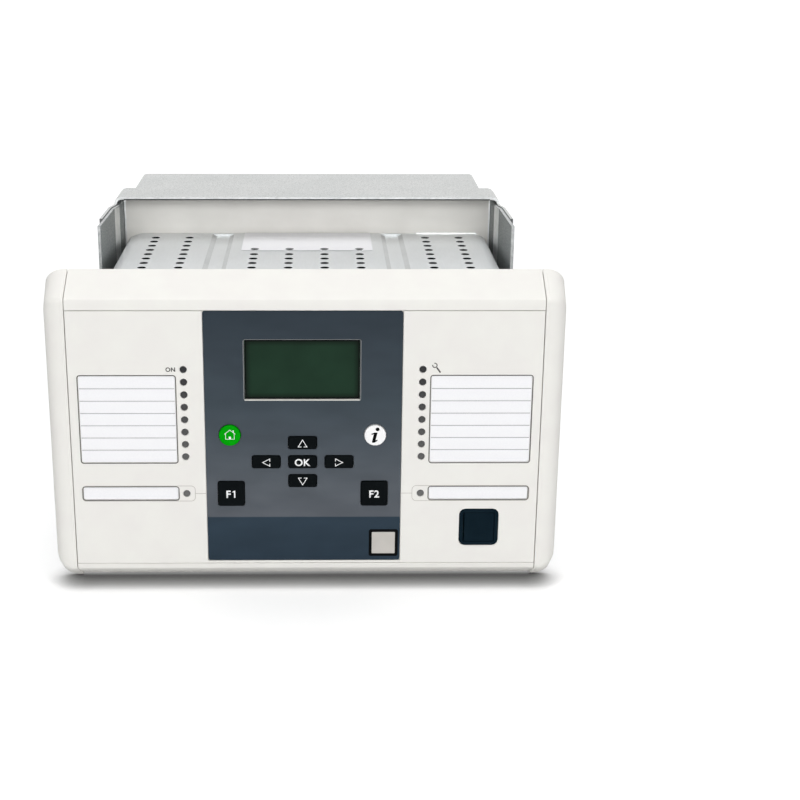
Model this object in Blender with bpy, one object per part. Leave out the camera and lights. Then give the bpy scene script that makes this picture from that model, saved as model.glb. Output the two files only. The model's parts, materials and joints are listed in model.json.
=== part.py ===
"""Panel protection relay: a cream front unit with a navy display panel and sprung keys, a
perforated sheet-steel case with plug-in cards, and a galvanised rear bracket round it.

X is to the right, Y to the back and Z up. The part stands on Z = 0, centred in X and Y.
Sizes below are in millimetres. Positions along Y count from the face of the front unit.
Build it with: blender --background --python part.py
"""

import math

import bmesh
import bpy
from mathutils import Vector

MM = 0.001
CLEAR = 0.3  # gap that separate pieces keep
CUT_PAST = 2.0  # how far a cutter reaches past the face that it opens
JOIN_OVERLAP = 0.5  # how far joined shapes run into each other

# Front unit
FRONT_WIDTH = 270.0
FRONT_DEPTH = 19.5
CAP_WIDTH = 11.8  # width of one end cap, measured along X
CAP_CORNER = 10.0  # radius of the unit's corners, seen from the front
CAP_ROUND = 7.0  # how far the cap's face rolls back at its outer side
CAP_DROP = 0.9  # how far the caps reach below the strip between them
CAP_OUTER_WALL = 3.6
TOP_DROP = 11.4  # how far the sloping top falls to the face
BASE_KINK_Z = 12.0  # where the face turns into the sloping underside
KINK_ROUND = 2.5
FRAME_WALL = 2.6
FRAME_LEDGE = 4.5  # shelf that the fascia sits on
FASCIA_HEIGHT = 140.2
FASCIA_TOP_MARGIN = 6.1  # from the fascia up to the sloping top
FASCIA_BASE_MARGIN = 3.3  # from the fascia down to the sloping underside
FASCIA_THICKNESS = 2.6

# Display panel
PANEL_CENTRE_X = -1.2  # the panel and the lamps beside it lie a little left of the middle
PANEL_HALF_WIDTH = 51.4
PANEL_BASE_MARGIN = 1.6
PANEL_THICKNESS = 1.0
PANEL_CORNER = 1.0
LCD_SIDE_MARGIN = 20.9  # from the panel's side to the LCD, on average
LCD_CENTRE_X = -1.7  # of the LCD and of the keys under it
LCD_TOP_MARGIN = 15.0  # from the LCD up to the fascia's top
LCD_ABOVE_KEYS = 18.9  # from the centres of the round keys up to the LCD
LCD_CHAMFER = 0.5
LCD_MODULE_RIM = (5.0, 4.5)  # how far the module reaches past its window, in X and Z

# Keys. Heights are those of the key centres above the fascia's lower edge.
KEY_PROUD = 1.2
KEY_TRAVEL = 0.8
KEY_LENGTH = 5.2  # from the pressed face to the back of the collar
KEY_COLLAR = 1.0
KEY_COLLAR_THICKNESS = 1.1
KEY_CORNER = 0.9
KEY_EDGE = 0.35
ARROW_SIZE = (14.8, 6.8)
FUNCTION_KEY_SIZE = (13.9, 13.7)
ROUND_KEY_DIAMETER = 11.4
PAD_STEP = (19.2, 10.7)
PAD_HEIGHT = 58.1
FUNCTION_KEY_MARGIN = 13.5  # from the panel's side to the key's centre, on average
FUNCTION_ROW_HEIGHT = 40.2
ROUND_KEY_MARGIN = 13.3
ROUND_KEY_HEIGHT = 73.1
MAT_THICKNESS = 1.0
MAT_MARGIN = 2.5
MAT_CORNER = 3.0
DOME_HEIGHT = 0.6
DOME_SHARE = 0.36  # radius of a dome for each millimetre of its key's smaller side
DOME_CROWN_SHARE = 0.7  # width of a dome's top for each millimetre of its foot

# Lamps and labels, the same at the left and at the right
LAMP_GAP = 10.6  # from the display panel to the lamps' centres
LAMP_DIAMETER = 3.4
GUIDE_WIDTH = 6.5
GUIDE_DEPTH = 2.4
LABEL_ROWS = 7
LABEL_GAP = 4.3  # from the lamps' centres to the labels
LABEL_MARGIN = 5.2  # from the labels to the end cap's seam
LABEL_TOP_MARGIN = 34.6  # from the tall label up to the fascia's top
LABEL_ABOVE_FUNCTION = 17.4  # from the function keys' row up to the tall label
FUNCTION_LABEL_HEIGHT = 7.3
LABEL_POCKET = 1.0  # depth
LABEL_CORNER = 1.0
CARD_THICKNESS = 0.4

# Front port and its hinged flap
PORT_FROM_SEAM = 30.8  # from the end cap's seam to the port's centre
PORT_HEIGHT = 20.6  # of the port's centre above the fascia's lower edge
PORT_SIZE = 20.6
PORT_CORNER = 3.0
PORT_WALL = 1.9
PORT_INNER_CORNER = 0.5
PORT_PROUD = 0.4
FLAP_THICKNESS = 2.0
FLAP_FRONT = 0.2  # how far the closed flap stands in front of the fascia
FLAP_GAP = 0.45  # running gap beside the flap's barrel
TRUNNION_RADIUS = 0.5
TRUNNION_LENGTH = 0.9
SOCKET_SIZE = (15.0, 13.2)
SOCKET_MOUTH = (11.8, 7.2)
SOCKET_LATCH = (6.2, 1.8)  # recess under the mouth
SOCKET_RECESS = 1.0  # from the closed flap back to the socket
SOCKET_WALL = 1.2

# Boards and plates behind the fascia
BOARD_THICKNESS = 1.6
FRONT_BOARD_SIDE_GAP = 6.45
FRONT_BOARD_MARGIN = 6.0  # from the fascia's upper and lower edge
FRONT_BOARD_CORNER = 3.0
PLATE_Y = 16.4  # front face of the steel plate that closes the front unit
PLATE_THICKNESS = 1.5
PLATE_CORNER = 4.0
PLATE_WINDOW = (90.0, 60.0)
GASKET_THICKNESS = 1.4
GASKET_MARGIN = 3.0
GASKET_WIDTH = 8.0

# Case
SHEET = 1.0
CASE_SIDE_INSET = 25.6  # from the front unit's side to the case
CASE_EDGE_INSET = 13.4  # from the front unit's top to the case, and the same at the base
CASE_BACK_Y = 169.4
SHOULDER_WIDTH = 6.8  # between the side and the crease where the top starts to fall
SHOULDER_DROP = 1.6
CASE_ROUND = 2.6
CASE_ROUND_ANGLE = 75.0  # how far the edge turns before the sloping shoulder
CHANNEL_SHARE = 2.52  # a channel's distance from the middle, for each millimetre of the vents' step
CHANNEL_HALF_WIDTH = 6.6
CHANNEL_WALL = 2.7  # width of a channel's sloping side
CHANNEL_DEPTH = 1.3
CHANNEL_END = 1.6  # length of the closed rear end of a channel
CHANNEL_OVERLAP = 0.3  # of that end with the sheet
TRAY_WALL = 16.0

# Vent holes in the case top and slots in its floor
VENT_DIAMETER = 4.6
VENT_COLUMNS = (-4.5, -3.5, -1.5, -0.5, 0.5, 1.5, 3.5, 4.5)  # in steps from the middle
LABELLED_COLUMNS = (-1.5, -0.5, 0.5, 1.5)
VENT_SIDE_MARGIN = 10.6  # from the shoulder to the outermost column
VENT_BACK_MARGIN = 12.4
VENT_FRONT_MARGIN = 12.0
VENT_STEP_Y = 11.2
LABELLED_ROWS = 3  # rows that the rating label covers
BASE_SLOT = (14.0, 5.0)
BASE_SLOT_COLUMNS = 4
BASE_SLOT_ROWS = 5

# Rating label on the case top
RATING_SIDE_GAP = 6.5  # from a channel to the label
RATING_BACK_GAP = 1.0
RATING_EDGE = 0.4  # strip of the label in front of the holes through it
RATING_HOLE_GROWTH = 0.2
RATING_THICKNESS = 0.25

# Rear bulkhead, cards and terminal blocks
BULKHEAD_THICKNESS = 2.5
BULKHEAD_BASE_Z = 4.0
BULKHEAD_CORNER = 3.5
CARD_COUNT = 5
CARD_SIDE_MARGIN = 27.4  # from the case's side to the outermost card
CARD_FRONT_Y = 27.0
CARD_MARGIN = 11.0  # from the case's top and base to a card
CARD_BACK_GAP = 4.6  # from a card back to the bulkhead, filled by the neck of its terminal block
BACKPLANE_SIDE_GAP = 4.0
BACKPLANE_MARGIN = 2.0  # how far the backplane reaches above and below the cards
BLOCK_WIDTH = 15.0
BLOCK_MARGIN = 6.0  # from a card's top and base to its terminal block's
BLOCK_DEPTH = 17.0
BLOCK_STEP_DEPTH = 6.0
BLOCK_NECK = 11.0  # width of the part that passes through the bulkhead
WIRE_HOLES = 10
WIRE_HOLE = 5.2
WIRE_HOLE_DEPTH = 6.0
TRANSFORMER_SIZE = (26.0, 38.0, 34.0)
TRANSFORMER_CORE = 10.4  # thickness of the laminations
WINDING_SIZE = (25.0, 22.4)
WINDING_CORNER = 4.0
STUD_RADIUS = 2.5
STUD_LENGTH = 14.0
STUD_ABOVE_FLOOR = 3.0
NUT_ACROSS = 8.0
NUT_HEIGHT = 4.0

# Rear bracket. Its places along Y are counted from the hood's front edge.
BRACKET_SHEET = 1.5
HOOD_RISE = 25.4  # from the case's top to the hood's
HOOD_OVERLAP = 15.6  # how far the hood's front edge lies in front of the case's back
HOOD_STEP = 30.7  # where the hood steps in
HOOD_STEP_WIDTH = 5.0  # how far its side then lies inside the arm's inner face
HOOD_LENGTH = 81.2
HOOD_BEND = 4.2
NARROW_BEND = 2.1
WING_REACH = 44.8
WING_DROP = 4.0
WING_FLARE_SHARE = 0.023  # how far a wing leans out for each millimetre towards the front
WING_OVERLAP = 4.0  # how far a wing runs back into the hood
FLANGE_WIDTH = 16.0
FLANGE_SLOT = (6.0, 12.0)  # width and length
FLANGE_SLOT_MARGIN = 37.0  # from the bracket's base and top to a slot's centre

# Arms inside the bracket's wings
ARM_SHEET = 1.8
ARM_GAP = 3.0  # from the case's side to the arm
ARM_REACH = 63.3
ARM_BASE_Z = 6.0
JOGGLE = 1.9  # how far the arm steps out
JOGGLE_START = 3.8
JOGGLE_LENGTH = 8.0
SCREW_HEAD_RADIUS = 4.0
SCREW_HEAD_HEIGHT = 1.8
SCREW_RADIUS = 1.9
SCREW_PLACE = 6.2
SCREW_MARGIN = 39.0  # from the bracket's base and top to a screw

# Worked out from the sizes above: the front unit
SEAM_X = FRONT_WIDTH / 2 - CAP_WIDTH
FRAME_HALF_WIDTH = SEAM_X - CLEAR / 2
FASCIA_BASE_Z = BASE_KINK_Z + FASCIA_BASE_MARGIN
FASCIA_TOP_Z = FASCIA_BASE_Z + FASCIA_HEIGHT
TOP_KINK_Z = FASCIA_TOP_Z + FASCIA_TOP_MARGIN
FRONT_HEIGHT = TOP_KINK_Z + TOP_DROP
PANEL_BASE_Z = FASCIA_BASE_Z + PANEL_BASE_MARGIN
PAD_CENTRE = (LCD_CENTRE_X, FASCIA_BASE_Z + PAD_HEIGHT)
FUNCTION_ROW_Z = FASCIA_BASE_Z + FUNCTION_ROW_HEIGHT
ROUND_KEY_Z = FASCIA_BASE_Z + ROUND_KEY_HEIGHT
FUNCTION_KEY_REACH = PANEL_HALF_WIDTH - FUNCTION_KEY_MARGIN
ROUND_KEY_REACH = PANEL_HALF_WIDTH - ROUND_KEY_MARGIN
LCD_BASE_Z = ROUND_KEY_Z + LCD_ABOVE_KEYS
LCD_TOP_Z = FASCIA_TOP_Z - LCD_TOP_MARGIN
LCD_WIDTH = 2 * (PANEL_HALF_WIDTH - LCD_SIDE_MARGIN)
LCD_HEIGHT = LCD_TOP_Z - LCD_BASE_Z
LCD_CENTRE = (LCD_CENTRE_X, (LCD_BASE_Z + LCD_TOP_Z) / 2)
LAMP_REACH = PANEL_HALF_WIDTH + LAMP_GAP
LABEL_REACH = LAMP_REACH + LABEL_GAP
LABEL_OUTER_X = SEAM_X - LABEL_MARGIN
LABEL_TOP_Z = FASCIA_TOP_Z - LABEL_TOP_MARGIN
LABEL_BASE_Z = FUNCTION_ROW_Z + LABEL_ABOVE_FUNCTION
LAMP_STEP = (LABEL_TOP_Z - LABEL_BASE_Z) / LABEL_ROWS
PORT_CENTRE = (SEAM_X - PORT_FROM_SEAM, FASCIA_BASE_Z + PORT_HEIGHT)
HINGE_Y = FLAP_THICKNESS / 2 - FLAP_FRONT
FLAP_OPENING = PORT_SIZE - 2 * PORT_WALL
HINGE_X = PORT_CENTRE[0] - FLAP_OPENING / 2 + FLAP_THICKNESS / 2 + FLAP_GAP
SEAT_Y = FASCIA_THICKNESS + CLEAR  # where whatever lies behind the fascia starts
MAT_Y = KEY_LENGTH - KEY_PROUD + KEY_TRAVEL + CLEAR + DOME_HEIGHT
FRONT_BOARD_Y = MAT_Y + MAT_THICKNESS + CLEAR

# Worked out: the case
CASE_HALF_WIDTH = FRONT_WIDTH / 2 - CASE_SIDE_INSET
CASE_TOP_Z = FRONT_HEIGHT - CASE_EDGE_INSET
CASE_BASE_Z = CASE_EDGE_INSET
CASE_FRONT_Y = PLATE_Y + PLATE_THICKNESS + CLEAR
SHOULDER_X = CASE_HALF_WIDTH - SHOULDER_WIDTH
VENT_STEP_X = (SHOULDER_X - VENT_SIDE_MARGIN) / max(VENT_COLUMNS)
VENT_BACK_Y = CASE_BACK_Y - VENT_BACK_MARGIN
VENT_ROWS = 1 + int((VENT_BACK_Y - VENT_FRONT_MARGIN - CASE_FRONT_Y) / VENT_STEP_Y)
CHANNEL_X = CHANNEL_SHARE * VENT_STEP_X
RATING_HOLE_Y = VENT_BACK_Y - LABELLED_ROWS * VENT_STEP_Y
RATING_FRONT_Y = RATING_HOLE_Y - VENT_DIAMETER / 2 - RATING_HOLE_GROWTH - RATING_EDGE
BULKHEAD_Y = CASE_BACK_Y + CLEAR
BULKHEAD_BACK_Y = BULKHEAD_Y + BULKHEAD_THICKNESS
CARD_STEP = 2 * (CASE_HALF_WIDTH - CARD_SIDE_MARGIN) / (CARD_COUNT - 1)
CARD_BASE_Z = CASE_BASE_Z + CARD_MARGIN
CARD_TOP_Z = CASE_TOP_Z - CARD_MARGIN
CARD_CENTRE_Z = (CARD_BASE_Z + CARD_TOP_Z) / 2
CARD_BACK_Y = BULKHEAD_Y - CARD_BACK_GAP
BLOCK_HEIGHT = CARD_TOP_Z - CARD_BASE_Z - 2 * BLOCK_MARGIN

# Worked out: the bracket and its arms
HOOD_TOP_Z = CASE_TOP_Z + HOOD_RISE
HOOD_FRONT_Y = CASE_BACK_Y - HOOD_OVERLAP
HOOD_STEP_Y = HOOD_FRONT_Y + HOOD_STEP
HOOD_BACK_Y = HOOD_FRONT_Y + HOOD_LENGTH
ARM_INNER_X = CASE_HALF_WIDTH + ARM_GAP
ARM_TOP_Z = HOOD_TOP_Z - HOOD_BEND - CLEAR
HOOD_WIDE_X = ARM_INNER_X + ARM_SHEET + CLEAR + BRACKET_SHEET
HOOD_NARROW_X = ARM_INNER_X - HOOD_STEP_WIDTH
WING_TOP_Z = HOOD_TOP_Z - WING_DROP
BULKHEAD_TOP_Z = HOOD_TOP_Z - BRACKET_SHEET - CLEAR
SCREW_Y = HOOD_FRONT_Y + SCREW_PLACE
SCREW_Z = (SCREW_MARGIN, HOOD_TOP_Z - SCREW_MARGIN)
CENTRE_Y = (HOOD_BACK_Y - KEY_PROUD) / 2

COLOURS = {
    "cream_plastic": ((0.86, 0.85, 0.82), 0.42, 0.0),
    "navy_panel": ((0.045, 0.055, 0.07), 0.45, 0.0),
    "navy_flap": ((0.008, 0.018, 0.028), 0.4, 0.0),
    "key_black": ((0.008, 0.009, 0.01), 0.45, 0.0),
    "key_green": ((0.0, 0.3, 0.01), 0.35, 0.0),
    "key_white": ((0.85, 0.85, 0.85), 0.35, 0.0),
    "lcd_glass": ((0.015, 0.04, 0.025), 0.15, 0.0),
    "lamp": ((0.06, 0.065, 0.07), 0.3, 0.0),
    "label_white": ((0.88, 0.88, 0.88), 0.6, 0.0),
    "rubber": ((0.02, 0.02, 0.02), 0.8, 0.0),
    "board_green": ((0.02, 0.12, 0.05), 0.5, 0.0),
    "galvanised": ((0.5, 0.52, 0.52), 0.45, 0.9),
    "case_sheet": ((0.62, 0.64, 0.65), 0.35, 0.9),
    "grey_plastic": ((0.6, 0.59, 0.55), 0.5, 0.0),
    "terminal_green": ((0.03, 0.2, 0.06), 0.5, 0.0),
    "core_steel": ((0.25, 0.25, 0.26), 0.5, 0.8),
    "bright_metal": ((0.6, 0.6, 0.58), 0.3, 1.0),
}


# Scene and materials


def clear_scene():
    for obj in list(bpy.data.objects):
        bpy.data.objects.remove(obj, do_unlink=True)


def material(name):
    """The Principled material of that name, made the first time it is asked for."""
    found = bpy.data.materials.get(name)
    if found:
        return found
    colour, roughness, metallic = COLOURS[name]
    made = bpy.data.materials.new(name)
    made.use_nodes = True
    shader = made.node_tree.nodes["Principled BSDF"]
    shader.inputs["Base Color"].default_value = (*colour, 1.0)
    shader.inputs["Roughness"].default_value = roughness
    shader.inputs["Metallic"].default_value = metallic
    made.diffuse_color = (*colour, 1.0)
    return made


def add_object(name, bm, material_name, at=(0.0, 0.0, 0.0)):
    """Turns a bmesh in millimetres into an object, with its origin at a point of the model."""
    bmesh.ops.translate(bm, verts=bm.verts, vec=-Vector(at))
    bmesh.ops.scale(bm, verts=bm.verts, vec=(MM, MM, MM))
    bmesh.ops.recalc_face_normals(bm, faces=bm.faces)
    mesh = bpy.data.meshes.new(name)
    bm.to_mesh(mesh)
    bm.free()
    obj = bpy.data.objects.new(name, mesh)
    bpy.context.scene.collection.objects.link(obj)
    obj.location = Vector(at) * MM
    obj.parent = bpy.data.objects["relay_origin"]
    if material_name:
        mesh.materials.append(material(material_name))
    return obj


def add_origin():
    """The empty that carries every piece, so that the part's box is centred on the world origin."""
    origin = bpy.data.objects.new("relay_origin", None)
    bpy.context.scene.collection.objects.link(origin)
    origin.location = (0.0, -CENTRE_Y * MM, 0.0)
    bpy.context.view_layer.update()


# Outlines: lists of 2-D points, in millimetres


def arc(centre, radius, start, end, steps):
    """Points on an arc, angles in degrees, both ends included."""
    angles = [math.radians(start + (end - start) * k / steps) for k in range(steps + 1)]
    return [(centre[0] + radius * math.cos(a), centre[1] + radius * math.sin(a)) for a in angles]


def circle(centre, radius, sides):
    return arc(centre, radius, 180.0 / sides, 360.0 + 180.0 / sides, sides)[:-1]


def rectangle(centre, size):
    (x, z), (w, h) = centre, (size[0] / 2, size[1] / 2)
    return [(x - w, z - h), (x + w, z - h), (x + w, z + h), (x - w, z + h)]


def rounded(centre, size, radius, steps=3):
    """A rectangle with round corners."""
    x, z = centre
    w, h = size[0] / 2 - radius, size[1] / 2 - radius
    corners = [(w, h, 0), (-w, h, 90), (-w, -h, 180), (w, -h, 270)]
    outline = []
    for dx, dz, start in corners:
        outline += arc((x + dx, z + dz), radius, start, start + 90, steps)
    return outline


def span(low, high):
    """Centre and size of the rectangle between two corner points."""
    centre = ((low[0] + high[0]) / 2, (low[1] + high[1]) / 2)
    return centre, (abs(high[0] - low[0]), abs(high[1] - low[1]))


def slot(centre, width, length, steps=4):
    """An upright slot with round ends."""
    x, z = centre
    reach = (length - width) / 2
    top = arc((x, z + reach), width / 2, 0, 180, steps)
    return top + arc((x, z - reach), width / 2, 180, 360, steps)


def offset_line(points, distance):
    """An open line moved sideways by a distance, to the left of its direction."""
    moved = []
    for k, point in enumerate(points):
        here = Vector(point)
        before = (here - Vector(points[k - 1])).normalized() if k else None
        after = (Vector(points[k + 1]) - here).normalized() if k + 1 < len(points) else None
        sides = [Vector((-d.y, d.x)) for d in (before, after) if d is not None]
        miter = sum(sides, Vector((0.0, 0.0))).normalized()
        moved.append(tuple(here + miter * (distance / miter.dot(sides[0]))))
    return moved


def sheet_outline(points, thickness):
    """The closed outline of a folded sheet whose one face follows an open line."""
    return list(points) + list(reversed(offset_line(points, thickness)))


def mirrored(points):
    """An outline mirrored in X."""
    return [(-x, other) for x, other in reversed(points)]


# Solids


def place(point, along, axis):
    """A 2-D outline point and a place along an axis, as a 3-D point."""
    a, b = point
    return {"X": (along, a, b), "Y": (a, along, b), "Z": (a, b, along)}[axis]


def loft(bm, rings):
    """Closes a row of equal-sided rings of 3-D points into one solid."""
    made = [[bm.verts.new(p) for p in ring] for ring in rings]
    count = len(made[0])
    for low, high in zip(made, made[1:]):
        for k in range(count):
            following = (k + 1) % count
            bm.faces.new((low[k], low[following], high[following], high[k]))
    bm.faces.new(list(reversed(made[0])))
    bm.faces.new(made[-1])


def extrude(bm, outline, axis, start, end):
    loft(bm, [[place(p, along, axis) for p in outline] for along in (start, end)])


def prism(name, outline, axis, start, end, material_name, at=(0.0, 0.0, 0.0)):
    bm = bmesh.new()
    extrude(bm, outline, axis, start, end)
    return add_object(name, bm, material_name, at)


def hide_cutter(cutter):
    cutter.hide_render = True
    cutter.display_type = "WIRE"


def cut(obj, outlines, axis, start, end, label="holes"):
    """Cuts separate prisms out of an object in one step."""
    bm = bmesh.new()
    for outline in outlines:
        extrude(bm, outline, axis, start, end)
    cutter = add_object(f"{obj.name}_{label}", bm, None)
    hide_cutter(cutter)
    boolean(obj, cutter, "DIFFERENCE", label)


def boolean(obj, other, operation, label):
    modifier = obj.modifiers.new(label, "BOOLEAN")
    modifier.operation = operation
    modifier.solver = "EXACT"
    modifier.object = other


def join(obj, outline, axis, start, end, label):
    """Adds a prism that overlaps the object to it."""
    bm = bmesh.new()
    extrude(bm, outline, axis, start, end)
    extra = add_object(f"{obj.name}_{label}", bm, None)
    hide_cutter(extra)
    boolean(obj, extra, "UNION", label)


def round_edges(obj, width, segments=1, angle=40.0):
    """A small bevel on the sharp edges."""
    modifier = obj.modifiers.new("edges", "BEVEL")
    modifier.width = width * MM
    modifier.segments = segments
    modifier.limit_method = "ANGLE"
    modifier.angle_limit = math.radians(angle)


# Front unit


def side_profile(face_inset, edge_inset):
    """Section of the front unit in Y and Z: an upright face between two sloping strips."""
    top = FRONT_HEIGHT - edge_inset
    base = edge_inset
    face = face_inset
    top_kink = TOP_KINK_Z - edge_inset
    base_kink = BASE_KINK_Z + edge_inset
    top_slope = Vector((FRONT_DEPTH - face, top - top_kink)).normalized() * KINK_ROUND
    base_slope = Vector((FRONT_DEPTH - face, base - base_kink)).normalized() * KINK_ROUND
    return [
        (FRONT_DEPTH, base),
        (face + base_slope.x, base_kink + base_slope.y),
        (face + base_slope.x * 0.2, base_kink + base_slope.y * 0.2 + KINK_ROUND * 0.2),
        (face, base_kink + KINK_ROUND),
        (face, top_kink - KINK_ROUND),
        (face + top_slope.x * 0.2, top_kink + top_slope.y * 0.2 - KINK_ROUND * 0.2),
        (face + top_slope.x, top_kink + top_slope.y),
        (FRONT_DEPTH, top),
    ]


def frame_outline():
    """Section of the strips between the caps: their lower edge stays above the caps'."""
    outline = side_profile(0.0, 0.0)
    outline[0] = (FRONT_DEPTH, CAP_DROP)
    return outline


def frame_hollow():
    """Section of the space inside the frame, in Y and Z, open at the back."""
    outline = frame_outline()
    inner = offset_line([outline[k] for k in (0, 3, 4, 7)], -FRAME_WALL)
    front, back = SEAT_Y + FRAME_WALL, FRONT_DEPTH + CUT_PAST
    return [(back, inner[0][1]), (front, inner[1][1]), (front, inner[2][1]), (back, inner[3][1])]


def hollow_height(y):
    """Lowest and highest Z inside the frame, at a distance from its face."""
    (back, base_back), (front, base), (_, top), (_, top_back) = frame_hollow()
    share = (y - front) / (back - front)
    return base + (base_back - base) * share, top + (top_back - top) * share


def make_front_frame():
    """One moulding: the top strip, the bottom strip and the ledge round the fascia."""
    half = FRAME_HALF_WIDTH
    frame = prism("front_frame", frame_outline(), "X", -half, half, "cream_plastic")
    inside_x = half - FRAME_WALL
    cut(frame, [frame_hollow()], "X", -inside_x, inside_x, "hollow")
    centre, size = span((-half, FASCIA_BASE_Z), (half, FASCIA_TOP_Z))
    seat = rectangle(centre, (size[0] + 2 * CUT_PAST, size[1] + 2 * CLEAR))
    cut(frame, [seat], "Y", -CUT_PAST, SEAT_Y, "fascia_seat")
    window = rectangle(centre, (size[0] - 2 * FRAME_LEDGE, size[1] - 2 * FRAME_LEDGE))
    cut(frame, [window], "Y", -CUT_PAST, FRONT_DEPTH + CUT_PAST, "window")
    return frame


def make_end_cap(side, name):
    """A cap whose face rolls back to its outer side and whose corners are round."""
    inner_x = SEAM_X + CLEAR / 2
    outer_x = FRONT_WIDTH / 2
    steps = 6
    places = [(inner_x, 0.0)]
    places += [(outer_x - CAP_CORNER, 90.0 * k / steps) for k in range(steps + 1)]
    rings = []
    for base_x, angle in places:
        turn = math.radians(angle)
        x = base_x + CAP_CORNER * math.sin(turn)
        edge_inset = CAP_CORNER * (1 - math.cos(turn))
        face_inset = CAP_ROUND * (1 - math.cos(turn))
        rings.append([(side * x, y, z) for y, z in side_profile(face_inset, edge_inset)])
    bm = bmesh.new()
    loft(bm, rings)
    cap = add_object(name, bm, "cream_plastic")
    low = (side * (inner_x + FRAME_WALL), BASE_KINK_Z + CAP_CORNER)
    high = (side * (outer_x - CAP_OUTER_WALL), TOP_KINK_Z - CAP_CORNER)
    pocket = rectangle(*span(low, high))
    cut(cap, [pocket], "Y", CAP_ROUND + FRAME_WALL, FRONT_DEPTH + CUT_PAST, "pocket")
    return cap


def beside_panel(side, reach):
    """X of a place at that distance from the middle of the panel."""
    return PANEL_CENTRE_X + side * reach


def lamp_places(side):
    """One lamp above the tall label, one beside each of its rows and one in the keys' row."""
    x, top = beside_panel(side, LAMP_REACH), LABEL_TOP_Z + LAMP_STEP / 2
    return [(x, top - k * LAMP_STEP) for k in range(LABEL_ROWS + 1)] + [(x, FUNCTION_ROW_Z)]


def key_table():
    """Each key: its name, colour, outline shape, centre and size."""
    x, z = PAD_CENTRE
    step_x, step_z = PAD_STEP
    disc = (ROUND_KEY_DIAMETER, ROUND_KEY_DIAMETER)
    f1, f2 = [(x + side * FUNCTION_KEY_REACH, FUNCTION_ROW_Z) for side in (-1, 1)]
    home, info = [(x + side * ROUND_KEY_REACH, ROUND_KEY_Z) for side in (-1, 1)]
    return [
        ("key_left", "key_black", "bar", (x - step_x, z), ARROW_SIZE),
        ("key_right", "key_black", "bar", (x + step_x, z), ARROW_SIZE),
        ("key_up", "key_black", "bar", (x, z + step_z), ARROW_SIZE),
        ("key_down", "key_black", "bar", (x, z - step_z), ARROW_SIZE),
        ("key_ok", "key_black", "bar", (x, z), ARROW_SIZE),
        ("key_f1", "key_black", "bar", f1, FUNCTION_KEY_SIZE),
        ("key_f2", "key_black", "bar", f2, FUNCTION_KEY_SIZE),
        ("key_home", "key_green", "disc", home, disc),
        ("key_info", "key_white", "disc", info, disc),
    ]


def key_outline(shape, centre, size, margin):
    if shape == "disc":
        return circle(centre, size[0] / 2 + margin, 20)
    grown = (size[0] + 2 * margin, size[1] + 2 * margin)
    return rounded(centre, grown, KEY_CORNER + margin, 2)


def key_holes():
    return [key_outline(shape, at, size, CLEAR) for _, _, shape, at, size in key_table()]


def lcd_opening(margin):
    size = (LCD_WIDTH - 2 * LCD_CHAMFER + 2 * margin, LCD_HEIGHT - 2 * LCD_CHAMFER + 2 * margin)
    return rectangle(LCD_CENTRE, size)


def make_fascia():
    """The cream face plate, with a seat for the display panel and pockets for the labels."""
    centre, size = span((-SEAM_X + CLEAR, FASCIA_BASE_Z), (SEAM_X - CLEAR, FASCIA_TOP_Z))
    fascia = prism("fascia", rectangle(centre, size), "Y", 0.0, FASCIA_THICKNESS, "cream_plastic")
    low = (beside_panel(-1, PANEL_HALF_WIDTH + CLEAR), PANEL_BASE_Z - CLEAR)
    high = (beside_panel(1, PANEL_HALF_WIDTH + CLEAR), FASCIA_TOP_Z + CUT_PAST)
    seat_depth = PANEL_THICKNESS + CLEAR
    cut(fascia, [rectangle(*span(low, high))], "Y", -CUT_PAST, seat_depth, "panel_seat")
    pockets = []
    for side in (-1, 1):
        for base, top in label_rows():
            corners = ((beside_panel(side, LABEL_REACH), base), (side * LABEL_OUTER_X, top))
            pockets.append(rounded(*span(*corners), LABEL_CORNER, 2))
    cut(fascia, pockets, "Y", -CUT_PAST, LABEL_POCKET, "label_pockets")
    through = key_holes() + [lcd_opening(0.0)]
    port_size = PORT_SIZE + 2 * CLEAR
    through.append(rounded(PORT_CENTRE, (port_size, port_size), PORT_CORNER + CLEAR))
    for side in (-1, 1):
        through += [circle(at, LAMP_DIAMETER / 2 + CLEAR, 10) for at in lamp_places(side)]
    cut(fascia, through, "Y", -CUT_PAST, FASCIA_THICKNESS + CUT_PAST, "openings")
    return fascia


def label_rows():
    """Base and top height of the label pocket and of the function label pocket."""
    half = FUNCTION_LABEL_HEIGHT / 2
    return [(LABEL_BASE_Z, LABEL_TOP_Z), (FUNCTION_ROW_Z - half, FUNCTION_ROW_Z + half)]


def make_display_panel():
    """The navy panel: holes for the keys and a chamfered opening in front of the LCD."""
    low = (beside_panel(-1, PANEL_HALF_WIDTH), PANEL_BASE_Z)
    high = (beside_panel(1, PANEL_HALF_WIDTH), FASCIA_TOP_Z)
    outline = rounded(*span(low, high), PANEL_CORNER)
    panel = prism("display_panel", outline, "Y", 0.0, PANEL_THICKNESS, "navy_panel")
    cut(panel, key_holes(), "Y", -CUT_PAST, PANEL_THICKNESS + CUT_PAST, "key_holes")
    bm = bmesh.new()
    slope = 1 / PANEL_THICKNESS
    rings = []
    for y in (-CUT_PAST, PANEL_THICKNESS + CUT_PAST):
        margin = LCD_CHAMFER * (1 - y * slope)
        rings.append([place(p, y, "Y") for p in lcd_opening(margin)])
    loft(bm, rings)
    cutter = add_object("display_panel_lcd_cut", bm, None)
    hide_cutter(cutter)
    boolean(panel, cutter, "DIFFERENCE", "lcd_opening")
    return panel


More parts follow.
